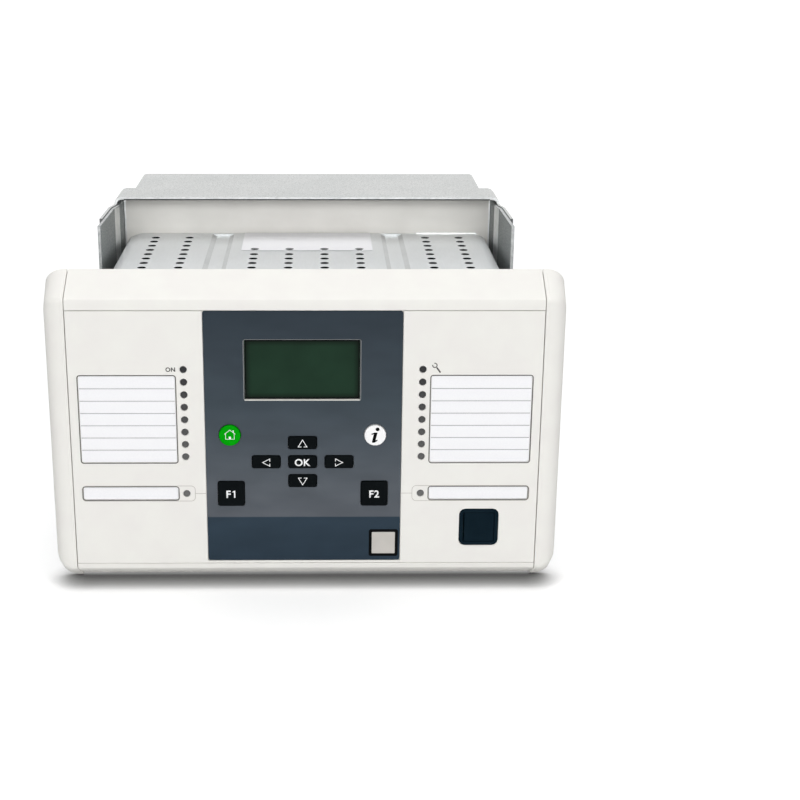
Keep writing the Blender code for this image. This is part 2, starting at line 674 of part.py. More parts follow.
def make_lcd():
    """The clear window in the opening, and the LCD module behind the fascia."""
    front = PANEL_THICKNESS + CLEAR
    window = prism("lcd_window", lcd_opening(-CLEAR), "Y", front, FASCIA_THICKNESS, "lcd_glass")
    size = (LCD_WIDTH + 2 * LCD_MODULE_RIM[0], LCD_HEIGHT + 2 * LCD_MODULE_RIM[1])
    back = FRONT_BOARD_Y - CLEAR
    module = prism("lcd_module", rectangle(LCD_CENTRE, size), "Y", SEAT_Y, back, "board_green")
    return [window, module]


def make_key(name, colour, shape, centre, size):
    """A key cap with a collar behind the fascia that keeps it from falling out."""
    at = (centre[0], 0.0, centre[1])
    back = KEY_LENGTH - KEY_PROUD
    key = prism(name, key_outline(shape, centre, size, 0.0), "Y", -KEY_PROUD, back, colour, at)
    collar = key_outline(shape, centre, size, KEY_COLLAR)
    join(key, collar, "Y", SEAT_Y, SEAT_Y + KEY_COLLAR_THICKNESS, "collar")
    round_edges(key, KEY_EDGE, 1, 60.0)
    return key


def make_keypad_mat():
    """The rubber mat: a sheet with one low dome behind each key."""
    keys = key_table()
    lows = [(at[0] - size[0] / 2, at[1] - size[1] / 2) for _, _, _, at, size in keys]
    highs = [(at[0] + size[0] / 2, at[1] + size[1] / 2) for _, _, _, at, size in keys]
    low = (min(p[0] for p in lows) - MAT_MARGIN, min(p[1] for p in lows) - MAT_MARGIN)
    high = (max(p[0] for p in highs) + MAT_MARGIN, max(p[1] for p in highs) + MAT_MARGIN)
    outline = rounded(*span(low, high), MAT_CORNER, 2)
    mat = prism("keypad_mat", outline, "Y", MAT_Y, MAT_Y + MAT_THICKNESS, "rubber")
    bm = bmesh.new()
    for _, _, _, at, size in keys:
        radius = min(size) * DOME_SHARE
        base = [place(p, MAT_Y + MAT_THICKNESS / 2, "Y") for p in circle(at, radius, 8)]
        foot = [place(p, MAT_Y, "Y") for p in circle(at, radius, 8)]
        crown = [place(p, MAT_Y - DOME_HEIGHT, "Y") for p in circle(at, radius * DOME_CROWN_SHARE, 8)]
        loft(bm, [base, foot, crown])
    domes = add_object("keypad_mat_domes", bm, None)
    hide_cutter(domes)
    boolean(mat, domes, "UNION", "domes")
    return mat


def make_light_guide(side, name):
    """One clear moulding per side: a bar with a round pip in each lamp hole."""
    places = lamp_places(side)
    x = beside_panel(side, LAMP_REACH)
    low = (x - GUIDE_WIDTH / 2, places[-1][1] - GUIDE_WIDTH / 2)
    high = (x + GUIDE_WIDTH / 2, places[0][1] + GUIDE_WIDTH / 2)
    guide = prism(name, rectangle(*span(low, high)), "Y", SEAT_Y, SEAT_Y + GUIDE_DEPTH, "lamp")
    bm = bmesh.new()
    for at in places:
        extrude(bm, circle(at, LAMP_DIAMETER / 2, 10), "Y", 0.0, SEAT_Y + JOIN_OVERLAP)
    pips = add_object(f"{name}_pips", bm, None)
    hide_cutter(pips)
    boolean(guide, pips, "UNION", "pips")
    return guide


def make_label_cards(side, word):
    """The two paper cards that lie in the label pockets of one side."""
    cards = []
    back = LABEL_POCKET - CLEAR
    for name, (base, top) in zip(("label_card", "function_card"), label_rows()):
        low = (beside_panel(side, LABEL_REACH + CLEAR), base + CLEAR)
        high = (side * (LABEL_OUTER_X - CLEAR), top - CLEAR)
        outline = rounded(*span(low, high), LABEL_CORNER - CLEAR, 2)
        front = back - CARD_THICKNESS
        cards.append(prism(f"{name}_{word}", outline, "Y", front, back, "label_white"))
    return cards


def make_port_frame():
    """The square sleeve in the fascia that the flap turns in, with a bearing at each end."""
    back = FRONT_BOARD_Y - CLEAR
    outer = rounded(PORT_CENTRE, (PORT_SIZE, PORT_SIZE), PORT_CORNER)
    frame = prism("port_frame", outer, "Y", -PORT_PROUD, back, "navy_flap")
    inner = rounded(PORT_CENTRE, (FLAP_OPENING, FLAP_OPENING), PORT_INNER_CORNER)
    cut(frame, [inner], "Y", -PORT_PROUD - CUT_PAST, back + CUT_PAST, "opening")
    bearing = circle((HINGE_X, HINGE_Y), TRUNNION_RADIUS + CLEAR, 10)
    reach = FLAP_OPENING / 2 + TRUNNION_LENGTH + CLEAR
    cut(frame, [bearing], "Z", PORT_CENTRE[1] - reach, PORT_CENTRE[1] + reach, "bearings")
    return frame


def make_port_flap():
    """A flap with a round barrel along its hinge side and a trunnion at each end."""
    half = FLAP_OPENING / 2 - CLEAR
    barrel = FLAP_THICKNESS / 2
    profile = arc((HINGE_X, HINGE_Y), barrel, 90, 270, 6)
    free_x = PORT_CENTRE[0] + half
    profile += [(free_x, HINGE_Y - barrel), (free_x, HINGE_Y + barrel)]
    low, high = PORT_CENTRE[1] - half, PORT_CENTRE[1] + half
    hinge = (HINGE_X, HINGE_Y, PORT_CENTRE[1])
    flap = prism("port_flap", profile, "Z", low, high, "navy_flap", hinge)
    pin = circle((HINGE_X, HINGE_Y), TRUNNION_RADIUS, 10)
    reach = FLAP_OPENING / 2 + TRUNNION_LENGTH
    join(flap, pin, "Z", PORT_CENTRE[1] - reach, PORT_CENTRE[1] + reach, "trunnions")
    return flap


def socket_mouth():
    """A plug opening with a narrower recess under it for the plug's latch."""
    x, z = PORT_CENTRE
    half, top = SOCKET_MOUTH[0] / 2, z + SOCKET_MOUTH[1] / 2
    base = z - SOCKET_MOUTH[1] / 2
    latch, low = SOCKET_LATCH[0] / 2, base - SOCKET_LATCH[1]
    right = [(x + latch, low), (x + latch, base), (x + half, base), (x + half, top)]
    left = [(x - half, top), (x - half, base), (x - latch, base), (x - latch, low)]
    return right + left


def make_port_socket():
    """The data socket behind the flap. It passes through the front board."""
    front = HINGE_Y + FLAP_THICKNESS / 2 + SOCKET_RECESS
    back = PLATE_Y - CLEAR
    socket = prism("port_socket", rectangle(PORT_CENTRE, SOCKET_SIZE), "Y", front, back, "bright_metal")
    cut(socket, [socket_mouth()], "Y", front - CUT_PAST, back - SOCKET_WALL, "mouth")
    return socket


def make_front_board():
    """The circuit board behind the keys, lamps and LCD, cut out round the data socket."""
    x = FRAME_HALF_WIDTH - FRAME_WALL - FRONT_BOARD_SIDE_GAP
    base, top = FASCIA_BASE_Z + FRONT_BOARD_MARGIN, FASCIA_TOP_Z - FRONT_BOARD_MARGIN
    outline = rounded(*span((-x, base), (x, top)), FRONT_BOARD_CORNER, 2)
    back = FRONT_BOARD_Y + BOARD_THICKNESS
    board = prism("front_board", outline, "Y", FRONT_BOARD_Y, back, "board_green")
    hole = rectangle(PORT_CENTRE, (SOCKET_SIZE[0] + 2 * CLEAR, SOCKET_SIZE[1] + 2 * CLEAR))
    cut(board, [hole], "Y", FRONT_BOARD_Y - CUT_PAST, back + CUT_PAST, "socket_hole")
    return board


def make_back_plate():
    """The steel plate that closes the front unit and carries the case."""
    base, top = hollow_height(PLATE_Y)
    x = FRAME_HALF_WIDTH - FRAME_WALL - CLEAR
    outline = rounded(*span((-x, base + CLEAR), (x, top - CLEAR)), PLATE_CORNER, 2)
    back = PLATE_Y + PLATE_THICKNESS
    plate = prism("back_plate", outline, "Y", PLATE_Y, back, "galvanised")
    window = rectangle((0.0, CARD_CENTRE_Z), PLATE_WINDOW)
    cut(plate, [window], "Y", PLATE_Y - CUT_PAST, back + CUT_PAST, "window")
    return plate


def make_gasket():
    """The soft ring that seals the front unit against a switchgear door."""
    front = FRONT_DEPTH + CLEAR
    low = (-FRONT_WIDTH / 2 + GASKET_MARGIN, GASKET_MARGIN)
    high = (FRONT_WIDTH / 2 - GASKET_MARGIN, FRONT_HEIGHT - GASKET_MARGIN)
    outline = rounded(*span(low, high), CAP_CORNER - GASKET_MARGIN)
    ring = prism("panel_gasket", outline, "Y", front, front + GASKET_THICKNESS, "rubber")
    low = (low[0] + GASKET_WIDTH, low[1] + GASKET_WIDTH)
    high = (high[0] - GASKET_WIDTH, high[1] - GASKET_WIDTH)
    cut(ring, [rectangle(*span(low, high))], "Y", front - CUT_PAST, front + 2 * CUT_PAST, "middle")
    return ring


# Case


def case_section():
    """Outer line of the folded cover in X and Z, from the left foot over the top to the right."""
    half = [(CASE_HALF_WIDTH, CASE_BASE_Z)]
    side_top = CASE_TOP_Z - SHOULDER_DROP - CASE_ROUND
    half += arc((CASE_HALF_WIDTH - CASE_ROUND, side_top), CASE_ROUND, 0, CASE_ROUND_ANGLE, 3)
    half.append((SHOULDER_X, CASE_TOP_Z))
    floor_z = CASE_TOP_Z - CHANNEL_DEPTH
    for side, inset, z in ((1, 0, CASE_TOP_Z), (1, CHANNEL_WALL, floor_z)):
        half.append((CHANNEL_X + side * (CHANNEL_HALF_WIDTH - inset), z))
    for inset, z in ((CHANNEL_WALL, floor_z), (0, CASE_TOP_Z)):
        half.append((CHANNEL_X - CHANNEL_HALF_WIDTH + inset, z))
    return half + mirrored(half)


def vent_places():
    """Centres of the vent holes, left out where the rating label lies."""
    places = []
    for column in VENT_COLUMNS:
        first = LABELLED_ROWS if column in LABELLED_COLUMNS else 0
        for row in range(first, VENT_ROWS):
            places.append((column * VENT_STEP_X, VENT_BACK_Y - row * VENT_STEP_Y))
    return places


def make_case_cover():
    """The top and sides, folded from one perforated sheet with two pressed channels."""
    outline = sheet_outline(case_section(), SHEET)
    cover = prism("case_cover", outline, "Y", CASE_FRONT_Y, CASE_BACK_Y, "case_sheet")
    holes = [circle(at, VENT_DIAMETER / 2, 8) for at in vent_places()]
    deep = CASE_TOP_Z - SHEET - CUT_PAST
    cut(cover, holes, "Z", deep, CASE_TOP_Z + CUT_PAST, "vents")
    for side in (-1, 1):
        middle, top, floor = side * CHANNEL_X, CASE_TOP_Z, CASE_TOP_Z - CHANNEL_DEPTH - CHANNEL_OVERLAP
        wide = CHANNEL_HALF_WIDTH + CHANNEL_OVERLAP
        narrow = wide - CHANNEL_WALL
        outline = [(middle - wide, top), (middle - narrow, floor), (middle + narrow, floor), (middle + wide, top)]
        join(cover, outline, "Y", CASE_BACK_Y - CHANNEL_END, CASE_BACK_Y, f"channel_end_{side}")
    return cover


def make_case_tray():
    """The floor of the case, with edges turned up inside the cover."""
    x = CASE_HALF_WIDTH - SHEET - CLEAR
    line = [(-x, CASE_BASE_Z + TRAY_WALL), (-x, CASE_BASE_Z)]
    line += [(x, CASE_BASE_Z), (x, CASE_BASE_Z + TRAY_WALL)]
    outline = sheet_outline(line, SHEET)
    tray = prism("case_tray", outline, "Y", CASE_FRONT_Y, CASE_BACK_Y, "case_sheet")
    depth = CASE_BACK_Y - CASE_FRONT_Y
    slots = []
    for column in range(BASE_SLOT_COLUMNS):
        for row in range(BASE_SLOT_ROWS):
            slot_x = 2 * x * ((column + 0.5) / BASE_SLOT_COLUMNS - 0.5)
            slot_y = CASE_FRONT_Y + depth * (row + 0.5) / BASE_SLOT_ROWS
            slots.append(rectangle((slot_x, slot_y), BASE_SLOT))
    cut(tray, slots, "Z", CASE_BASE_Z - CUT_PAST, CASE_BASE_Z + SHEET + CUT_PAST, "slots")
    return tray


def make_rating_label():
    """A bare label between the two channels, with a row of holes at its front edge."""
    x = CHANNEL_X - CHANNEL_HALF_WIDTH - RATING_SIDE_GAP
    base, top = CASE_TOP_Z + CLEAR, CASE_TOP_Z + CLEAR + RATING_THICKNESS
    outline = rectangle(*span((-x, RATING_FRONT_Y), (x, CASE_BACK_Y - RATING_BACK_GAP)))
    label = prism("rating_label", outline, "Z", base, top, "label_white")
    radius = VENT_DIAMETER / 2 + RATING_HOLE_GROWTH
    holes = [circle((c * VENT_STEP_X, RATING_HOLE_Y), radius, 8) for c in LABELLED_COLUMNS]
    cut(label, holes, "Z", base - CUT_PAST, top + CUT_PAST, "holes_over_vents")
    return label


def card_places():
    return [(k - (CARD_COUNT - 1) / 2) * CARD_STEP for k in range(CARD_COUNT)]


def make_bulkhead():
    """The pale rear wall that the terminal blocks pass through."""
    x = ARM_INNER_X - CLEAR
    outline = rounded(*span((-x, BULKHEAD_BASE_Z), (x, BULKHEAD_TOP_Z)), BULKHEAD_CORNER)
    wall = prism("rear_bulkhead", outline, "Y", BULKHEAD_Y, BULKHEAD_BACK_Y, "grey_plastic")
    size = (BLOCK_NECK + 2 * CLEAR, BLOCK_HEIGHT - 2 * BLOCK_STEP_DEPTH + 2 * CLEAR)
    slots = [rectangle((x, CARD_CENTRE_Z), size) for x in card_places()]
    slots.append(circle(stud_place(), STUD_RADIUS + CLEAR, 12))
    cut(wall, slots, "Y", BULKHEAD_Y - CUT_PAST, BULKHEAD_BACK_Y + CUT_PAST, "slots")
    return wall


def make_card(number, x):
    """A plug-in card that runs from the backplane to its terminal block."""
    outline = rectangle(*span((CARD_FRONT_Y, CARD_BASE_Z), (CARD_BACK_Y, CARD_TOP_Z)))
    half = BOARD_THICKNESS / 2
    return prism(f"card_{number}", outline, "X", x - half, x + half, "board_green")


def make_terminal_block(number, x):
    """A pluggable block: a neck through the bulkhead, a stepped body and wire holes."""
    neck, body = BLOCK_NECK / 2, BLOCK_WIDTH / 2
    seat = BULKHEAD_BACK_Y + CLEAR
    back = seat + BLOCK_DEPTH
    step = seat + BLOCK_STEP_DEPTH
    neck_height = BLOCK_HEIGHT - 2 * BLOCK_STEP_DEPTH
    outline = [(x - body, seat), (x + body, seat), (x + body, step)]
    outline += [(x + neck, back), (x - neck, back), (x - body, step)]
    low, high = CARD_CENTRE_Z - BLOCK_HEIGHT / 2, CARD_CENTRE_Z + BLOCK_HEIGHT / 2
    block = prism(f"terminal_block_{number}", outline, "Z", low, high, "terminal_green")
    shank = rectangle((x, CARD_CENTRE_Z), (BLOCK_NECK, neck_height))
    join(block, shank, "Y", CARD_BACK_Y + CLEAR, seat + JOIN_OVERLAP, "neck")
    pitch = neck_height / WIRE_HOLES
    holes = []
    for k in range(WIRE_HOLES):
        z = CARD_CENTRE_Z + (k - (WIRE_HOLES - 1) / 2) * pitch
        holes.append(rectangle((x, z), (WIRE_HOLE, WIRE_HOLE)))
    cut(block, holes, "Y", back - WIRE_HOLE_DEPTH, back + CUT_PAST, "wire_holes")
    return block


def make_backplane():
    """The board behind the front plate that the cards plug into."""
    x = CASE_HALF_WIDTH - SHEET - BACKPLANE_SIDE_GAP
    base, top = CARD_BASE_Z - BACKPLANE_MARGIN, CARD_TOP_Z + BACKPLANE_MARGIN
    outline = rectangle(*span((-x, base), (x, top)))
    back = CARD_FRONT_Y - CLEAR
    return prism("backplane", outline, "Y", back - BOARD_THICKNESS, back, "board_green")


def make_transformer():
    """The supply transformer on the first card: laminations round a winding."""
    width, depth, height = TRANSFORMER_SIZE
    x = card_places()[0] + BOARD_THICKNESS / 2 + CLEAR
    y, z = (CARD_FRONT_Y + BULKHEAD_Y) / 2, CARD_BASE_Z + height
    core = rectangle((y, z), (depth, height))
    core_x = x + (width - TRANSFORMER_CORE) / 2
    body = prism("supply_transformer", core, "X", core_x, core_x + TRANSFORMER_CORE, "core_steel")
    winding = rounded((y, z), WINDING_SIZE, WINDING_CORNER, 2)
    join(body, winding, "X", x, x + width, "winding")
    return body


def stud_place():
    """Centre of the earth stud, low at the right of the bulkhead."""
    return (card_places()[-1], CASE_BASE_Z + STUD_ABOVE_FLOOR)


def make_earth_stud():
    """A threaded stud with its nut against the bulkhead."""
    at = stud_place()
    seat = BULKHEAD_BACK_Y + CLEAR
    outline = circle(at, STUD_RADIUS, 12)
    stud = prism("earth_stud", outline, "Y", BULKHEAD_Y, seat + STUD_LENGTH, "bright_metal")
    across = NUT_ACROSS / math.cos(math.radians(30)) / 2
    join(stud, circle(at, across, 6), "Y", seat, seat + NUT_HEIGHT, "nut")
    return stud


# Rear bracket


def make_bracket():
    """One galvanised sheet: a hood, wings that flare forward beside the case, and rear flanges."""
    wide = sheet_outline(wide_section(), BRACKET_SHEET)
    bracket = prism("rear_bracket", wide, "Y", HOOD_FRONT_Y, HOOD_STEP_Y, "galvanised")
    narrow = sheet_outline(narrow_section(), BRACKET_SHEET)
    join(bracket, narrow, "Y", HOOD_STEP_Y - BRACKET_SHEET, HOOD_BACK_Y, "rear_hood")
    for side, word in ((-1, "left"), (1, "right")):
        join(bracket, wing_plan(side), "Z", 0.0, WING_TOP_Z, f"wing_{word}")
        inner = side * (HOOD_NARROW_X - BRACKET_SHEET / 2)
        outer = side * (HOOD_WIDE_X - BRACKET_SHEET / 2)
        step = rectangle(*span((inner, 0.0), (outer, HOOD_TOP_Z - HOOD_BEND)))
        join(bracket, step, "Y", HOOD_STEP_Y - BRACKET_SHEET, HOOD_STEP_Y, f"step_{word}")
        flange = rear_flange(side)
        join(bracket, flange, "Y", HOOD_BACK_Y - BRACKET_SHEET, HOOD_BACK_Y, f"flange_{word}")
    slots = []
    for side in (-1, 1):
        x = side * (HOOD_NARROW_X - FLANGE_WIDTH / 2)
        for z in (FLANGE_SLOT_MARGIN, HOOD_TOP_Z - FLANGE_SLOT_MARGIN):
            slots.append(slot((x, z), *FLANGE_SLOT))
    front = HOOD_BACK_Y - BRACKET_SHEET - CUT_PAST
    cut(bracket, slots, "Y", front, HOOD_BACK_Y + CUT_PAST, "slots")
    sides = [circle((SCREW_Y, z), SCREW_RADIUS + CLEAR, 10) for z in SCREW_Z]
    reach = HOOD_WIDE_X + CUT_PAST
    cut(bracket, sides, "X", -reach, reach, "screw_holes")
    return bracket


def wide_section():
    """Outer line of the hood over the wings, from the right foot over the top to the left."""
    half = [(HOOD_WIDE_X, 0.0)]
    half += arc((HOOD_WIDE_X - HOOD_BEND, HOOD_TOP_Z - HOOD_BEND), HOOD_BEND, 0, 90, 3)
    return half + mirrored(half)


def narrow_section():
    """Outer line of the hood behind the step."""
    half = [(HOOD_NARROW_X, 0.0)]
    half += arc((HOOD_NARROW_X - NARROW_BEND, HOOD_TOP_Z - NARROW_BEND), NARROW_BEND, 0, 90, 2)
    return half + mirrored(half)


def arm_line(back, front):
    """Plan of an arm's inner face in X and Y: beside the bulkhead, out over a joggle, then flared."""
    joggle_back = HOOD_FRONT_Y - JOGGLE_START
    joggle_front = joggle_back - JOGGLE_LENGTH
    joggled = ARM_INNER_X + JOGGLE
    flared = joggled + WING_FLARE_SHARE * (joggle_front - front)
    return [(ARM_INNER_X, back), (ARM_INNER_X, joggle_back), (joggled, joggle_front), (flared, front)]


def wing_plan(side):
    """Plan of a wing in X and Y: it lies on the outside of the arm."""
    line = arm_line(HOOD_FRONT_Y + WING_OVERLAP, HOOD_FRONT_Y - WING_REACH)
    outline = sheet_outline(offset_line(line, ARM_SHEET + CLEAR), BRACKET_SHEET)
    return [(side * x, y) for x, y in outline]


def rear_flange(side):
    """Outline of a flange turned inward at the rear, in X and Z."""
    low = (side * (HOOD_NARROW_X - BRACKET_SHEET / 2), 0.0)
    high = (side * (HOOD_NARROW_X - FLANGE_WIDTH), HOOD_TOP_Z - HOOD_BEND)
    return rectangle(*span(low, high))


def make_arm(side, name):
    """A galvanised arm inside each wing, joggled outward and flared towards the front."""
    line = arm_line(HOOD_STEP_Y - BRACKET_SHEET - CLEAR, HOOD_FRONT_Y - ARM_REACH)
    outline = [(side * x, y) for x, y in sheet_outline(line, ARM_SHEET)]
    arm = prism(name, outline, "Z", ARM_BASE_Z, ARM_TOP_Z, "galvanised")
    holes = [circle((SCREW_Y, z), SCREW_RADIUS + CLEAR, 10) for z in SCREW_Z]
    reach = sorted((side * (ARM_INNER_X - CUT_PAST), side * (HOOD_WIDE_X + CUT_PAST)))
    cut(arm, holes, "X", reach[0], reach[1], "screw_holes")
    return arm


def make_bracket_screw(side, z, name):
    """A pan-head screw that holds the arm to the bracket."""
    at = (SCREW_Y, z)
    seat = HOOD_WIDE_X + CLEAR
    tip = CASE_HALF_WIDTH + 2 * CLEAR
    head = seat + SCREW_HEAD_HEIGHT
    shaft = circle(at, SCREW_RADIUS, 10)
    screw = prism(name, shaft, "X", side * tip, side * (seat + JOIN_OVERLAP), "bright_metal")
    join(screw, circle(at, SCREW_HEAD_RADIUS, 12), "X", side * seat, side * head, "head")
    return screw


def build():
    clear_scene()
    add_origin()
    make_front_frame()
    make_fascia()
    make_display_panel()
    make_lcd()
    for row in key_table():
        make_key(*row)
    make_keypad_mat()
    make_port_frame()
    make_port_flap()
    make_port_socket()
    make_front_board()
    make_back_plate()
    make_gasket()
    make_case_cover()
    make_case_tray()
    make_rating_label()
    make_bulkhead()
    make_backplane()
    for number, x in enumerate(card_places(), 1):
        make_card(number, x)
        make_terminal_block(number, x)
    make_transformer()
    make_earth_stud()
    make_bracket()
    for side, word in ((-1, "left"), (1, "right")):
        make_end_cap(side, f"end_cap_{word}")
        make_light_guide(side, f"light_guide_{word}")
        make_label_cards(side, word)
        make_arm(side, f"arm_{word}")
        for place_word, z in zip(("lower", "upper"), SCREW_Z):
            make_bracket_screw(side, z, f"bracket_screw_{word}_{place_word}")
    for obj in bpy.data.objects:
        if obj.type == "MESH":
            obj.data.shade_smooth()
            obj.data.set_sharp_from_angle(angle=math.radians(35))


build()
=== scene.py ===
"""Looks of the protection relay: camera, floor, light, finishes and the fine pieces.

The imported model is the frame. Sizes here are in millimetres and turned into metres where a
piece is made. X is to the right, Y to the back and Z up.
"""

import json
import math

import bmesh
import bpy
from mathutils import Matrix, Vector

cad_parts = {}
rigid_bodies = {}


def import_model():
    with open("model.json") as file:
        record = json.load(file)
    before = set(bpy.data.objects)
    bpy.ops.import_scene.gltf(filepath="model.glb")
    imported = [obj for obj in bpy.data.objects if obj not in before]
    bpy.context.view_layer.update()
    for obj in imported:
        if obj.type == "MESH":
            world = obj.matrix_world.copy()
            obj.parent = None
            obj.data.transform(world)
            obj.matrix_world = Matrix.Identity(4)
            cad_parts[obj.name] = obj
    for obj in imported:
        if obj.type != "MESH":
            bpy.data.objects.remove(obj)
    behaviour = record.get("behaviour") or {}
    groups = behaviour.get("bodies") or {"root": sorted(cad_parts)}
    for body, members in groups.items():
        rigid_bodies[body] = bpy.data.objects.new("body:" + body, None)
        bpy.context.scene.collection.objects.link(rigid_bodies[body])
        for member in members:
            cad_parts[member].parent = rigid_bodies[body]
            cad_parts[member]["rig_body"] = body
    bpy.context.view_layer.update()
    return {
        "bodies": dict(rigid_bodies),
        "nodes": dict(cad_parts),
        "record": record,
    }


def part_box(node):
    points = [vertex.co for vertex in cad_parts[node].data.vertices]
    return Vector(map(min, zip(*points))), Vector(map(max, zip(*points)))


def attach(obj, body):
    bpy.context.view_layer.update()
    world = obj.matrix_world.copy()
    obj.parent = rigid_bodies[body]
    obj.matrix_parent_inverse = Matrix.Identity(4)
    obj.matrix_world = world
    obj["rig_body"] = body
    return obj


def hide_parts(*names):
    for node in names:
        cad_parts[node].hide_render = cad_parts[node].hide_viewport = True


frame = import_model()

MM = 0.001
BODY = "housing"
SIDES = ((-1, "left"), (1, "right"))
WHITE = (255, 255, 255)
FACE_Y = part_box("fascia")[0].y / MM  # front face of the fascia
PRINT = 0.04  # thickness of printed marks
PRINT_LIFT = 0.02  # gap between a mark and the face under it
NOISE_MIDDLE = (0.3, 0.7)  # most of a noise lies between these

# Camera, solved from the edges of the front unit
CAMERA_PLACE = (0.00706, -0.8622, 0.35518)
CAMERA_TURNS = (71.632, -0.189, -0.77)  # about X, Y and Z, in degrees
CAMERA_LENS = 67.89
CAMERA_SHIFT = 0.075

FLOOR_HALF = 9.0
WORLD_LIGHT = 0.3
WORLD_SIDES = 0.12  # share of that light that comes from the left and the right
LAMPS = (  # name, strength, the way that the light travels, softness in degrees
    ("overhead_lamp", 1.85, (-0.03, -0.05, -1.0), 60.0),
    ("front_lamp", 2.16, (-0.03, 0.99, -0.13), 50.0),
)
FLOOR_COLOUR = (0.78, 0.78, 0.78, 1.0)
FLOOR_LIFT = 0.38  # added to the floor where it is seen, so that it shows as white
SHADOW_REACH = 0.012  # of the painted contact shadow where the object meets the floor, where the floor is seen
SHADOW_DEPTH = 1.1

PANEL_SHADES = [  # height of each shade of the navy film
    (16.0, (42, 57, 70)),
    (42.0, (46, 61, 74)),
    (42.2, (93, 98, 105)),
    (60.0, (91, 97, 104)),
    (85.0, (76, 84, 92)),
    (105.0, (65, 75, 83)),
    (156.0, (47, 57, 66)),
]
LAMP_SHADES = (50.0, 128.0)  # heights between which the lamps get darker
# heights between which painted shade darkens the arms towards the bottom
ARM_SHADES = (125.0, 176.0)
# heights between which painted shade darkens the bulkhead towards the top
BULKHEAD_SHADES = (164.0, 184.0)
LCD_DOT = 0.47  # pitch of the display's dots
LCD_FADE = 3.2  # how far painted shade darkens the display beside its border

# Marks
MARK_LINE = 0.34
HOUSE_LINE = 0.26
HOUSE_PLACE = (0.1, 0.5)  # from the middle of its key
HOUSE_DOOR = ((-0.55, -2.21), (0.55, -0.95))
HOUSE_CHIMNEY = (1.5, 2.0, 2.5)  # left and right side, and top
ROOF_GAP, ROOF_REACH = 0.02, 0.5  # of its eaves beside the walls
ARROW_UP = (3.9, 4.6)  # along the way that it points, and across
ARROW_SIDE = (3.8, 4.1)
ARROW_GAP = 1.2  # in the line across from the tip
BOLD = 0.026
DIGIT_ONE = [(1.45, -2.05), (2.15, -2.05), (2.15, 2.05), (1.55, 2.05), (0.6, 1.4), (0.9, 0.9), (1.45, 1.25)]
WORD_SPACE = 1.06
KEY_WORDS = (  # key, letters, height, how far they lie aside
    ("key_ok", "OK", 4.0, 0.0),
    ("key_f1", "F", 4.2, -1.4),
    ("key_f2", "F2", 4.2, 0.0),
)
INFO_SCALE = 1.08
INFO_DOT = (1.1, 3.2)
INFO_DOT_RADIUS = 1.02
INFO_STEM = [
    (-1.6, -3.4), (-1.0, -3.75), (0.0, -3.45), (1.25, -2.45), (1.05, -2.1), (0.2, -2.5),
    (1.1, 1.6), (-0.4, 1.55), (-1.9, 0.85), (-1.75, 0.5), (-0.68, 0.65),
]
WINDOW_GAP = 0.3
WINDOW_LINE = 0.45
WINDOW_CORNER = 1.7
LABEL_ROWS = 7
ROW_LINE = 0.35
FRAME_REACH = 1.1
FUNCTION_FRAME_REACH = 57.35  # from the middle of the display panel
FUNCTION_FRAME_CORNER = 2.4
FAINT_LINE = 0.3
ON_PLACE = (-69.8, 124.3)
ON_HEIGHT = 2.4
SPANNER_JAW = (66.9, 126.5)
SPANNER_RADIUS = 1.15
SPANNER_HANDLE = ((1.0, -1.15), (3.0, -3.9))  # its ends, from the jaw
RIM_WIDTH = 0.5
RIM_GAP = 0.3  # between the display and the foot of its rim
RIM_LIFT = 0.07
RIM_DEPTH = 1.2
RIM_SKIN = 0.05
RIM_CORNER = 1.1
RIM_LIP = 0.15
# the painted highlight along the lower side of the display's rim
RIM_HIGHLIGHT_RISE = 0.4
RIM_HIGHLIGHT_WIDTH = 0.75
BORDER_CORNER = 0.6
BORDER_WIDTH = 0.45
BARE_SQUARE = (41.4, 26.9)
BARE_SQUARES = (  # name, half size, corner, finish
    ("bare_square", 7.8, 1.2, "black_print"),
    ("bare_square_field", 6.2, 0.4, "faint_print"),
)

# End caps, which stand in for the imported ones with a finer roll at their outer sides
CAP_CORNER = 10.0
CAP_ROUND = 9.5
CAP_DROP = 7.5
CAP_STEPS = 20
CAP_EDGE = 0.3
CAP_GROOVE = 1.6  # from the seam to the fine groove in the cap
CAP_GROOVE_SIZE = (0.14, 0.12)  # half width and depth
TOP_DROP = 11.4
BASE_KINK_Z = 12.0
KINK_ROUND = 2.5
KINK_STEPS = 6

# Bracket, bulkhead and case
HOOD_SHEET = 1.5
WING_REACH = 44.8
STRIP = 0.7  # thickness of the painted shadow strip under the hood and of the painted highlight strips
HIGHLIGHT_LIFT = 0.05
HOOD_SHADOW_LIFT = 0.06
HOOD_SHADOW_RANGE = (-0.3, 0.45)  # below and above the underside of the hood
HOOD_SHADOW_END_GAP = 2.0
FOLD_EDGE = 0.55  # from the bulkhead's edge to the middle of the painted highlight along its folded edge
FOLD_RADIUS = 3.0
FOLD_WIDTH = 0.9
FOLD_BASE = 20.0
# left and right end of the painted highlight at the rear of the case's top
CASE_HIGHLIGHT = (67.0, 104.0)
CASE_HIGHLIGHT_RANGE = (-0.3, 0.5)  # below and above the top of the case

# Round holes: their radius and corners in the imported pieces, and their radius and edge here
VENT_RADIUS = 2.3
VENT_CORNERS = 8
VENT_DEPTH = 6.0
VENT_SIDES = 28
ROUND_HOLES = (("case_cover", 2.45, 0.12), ("rating_label", 2.53, 0.04))

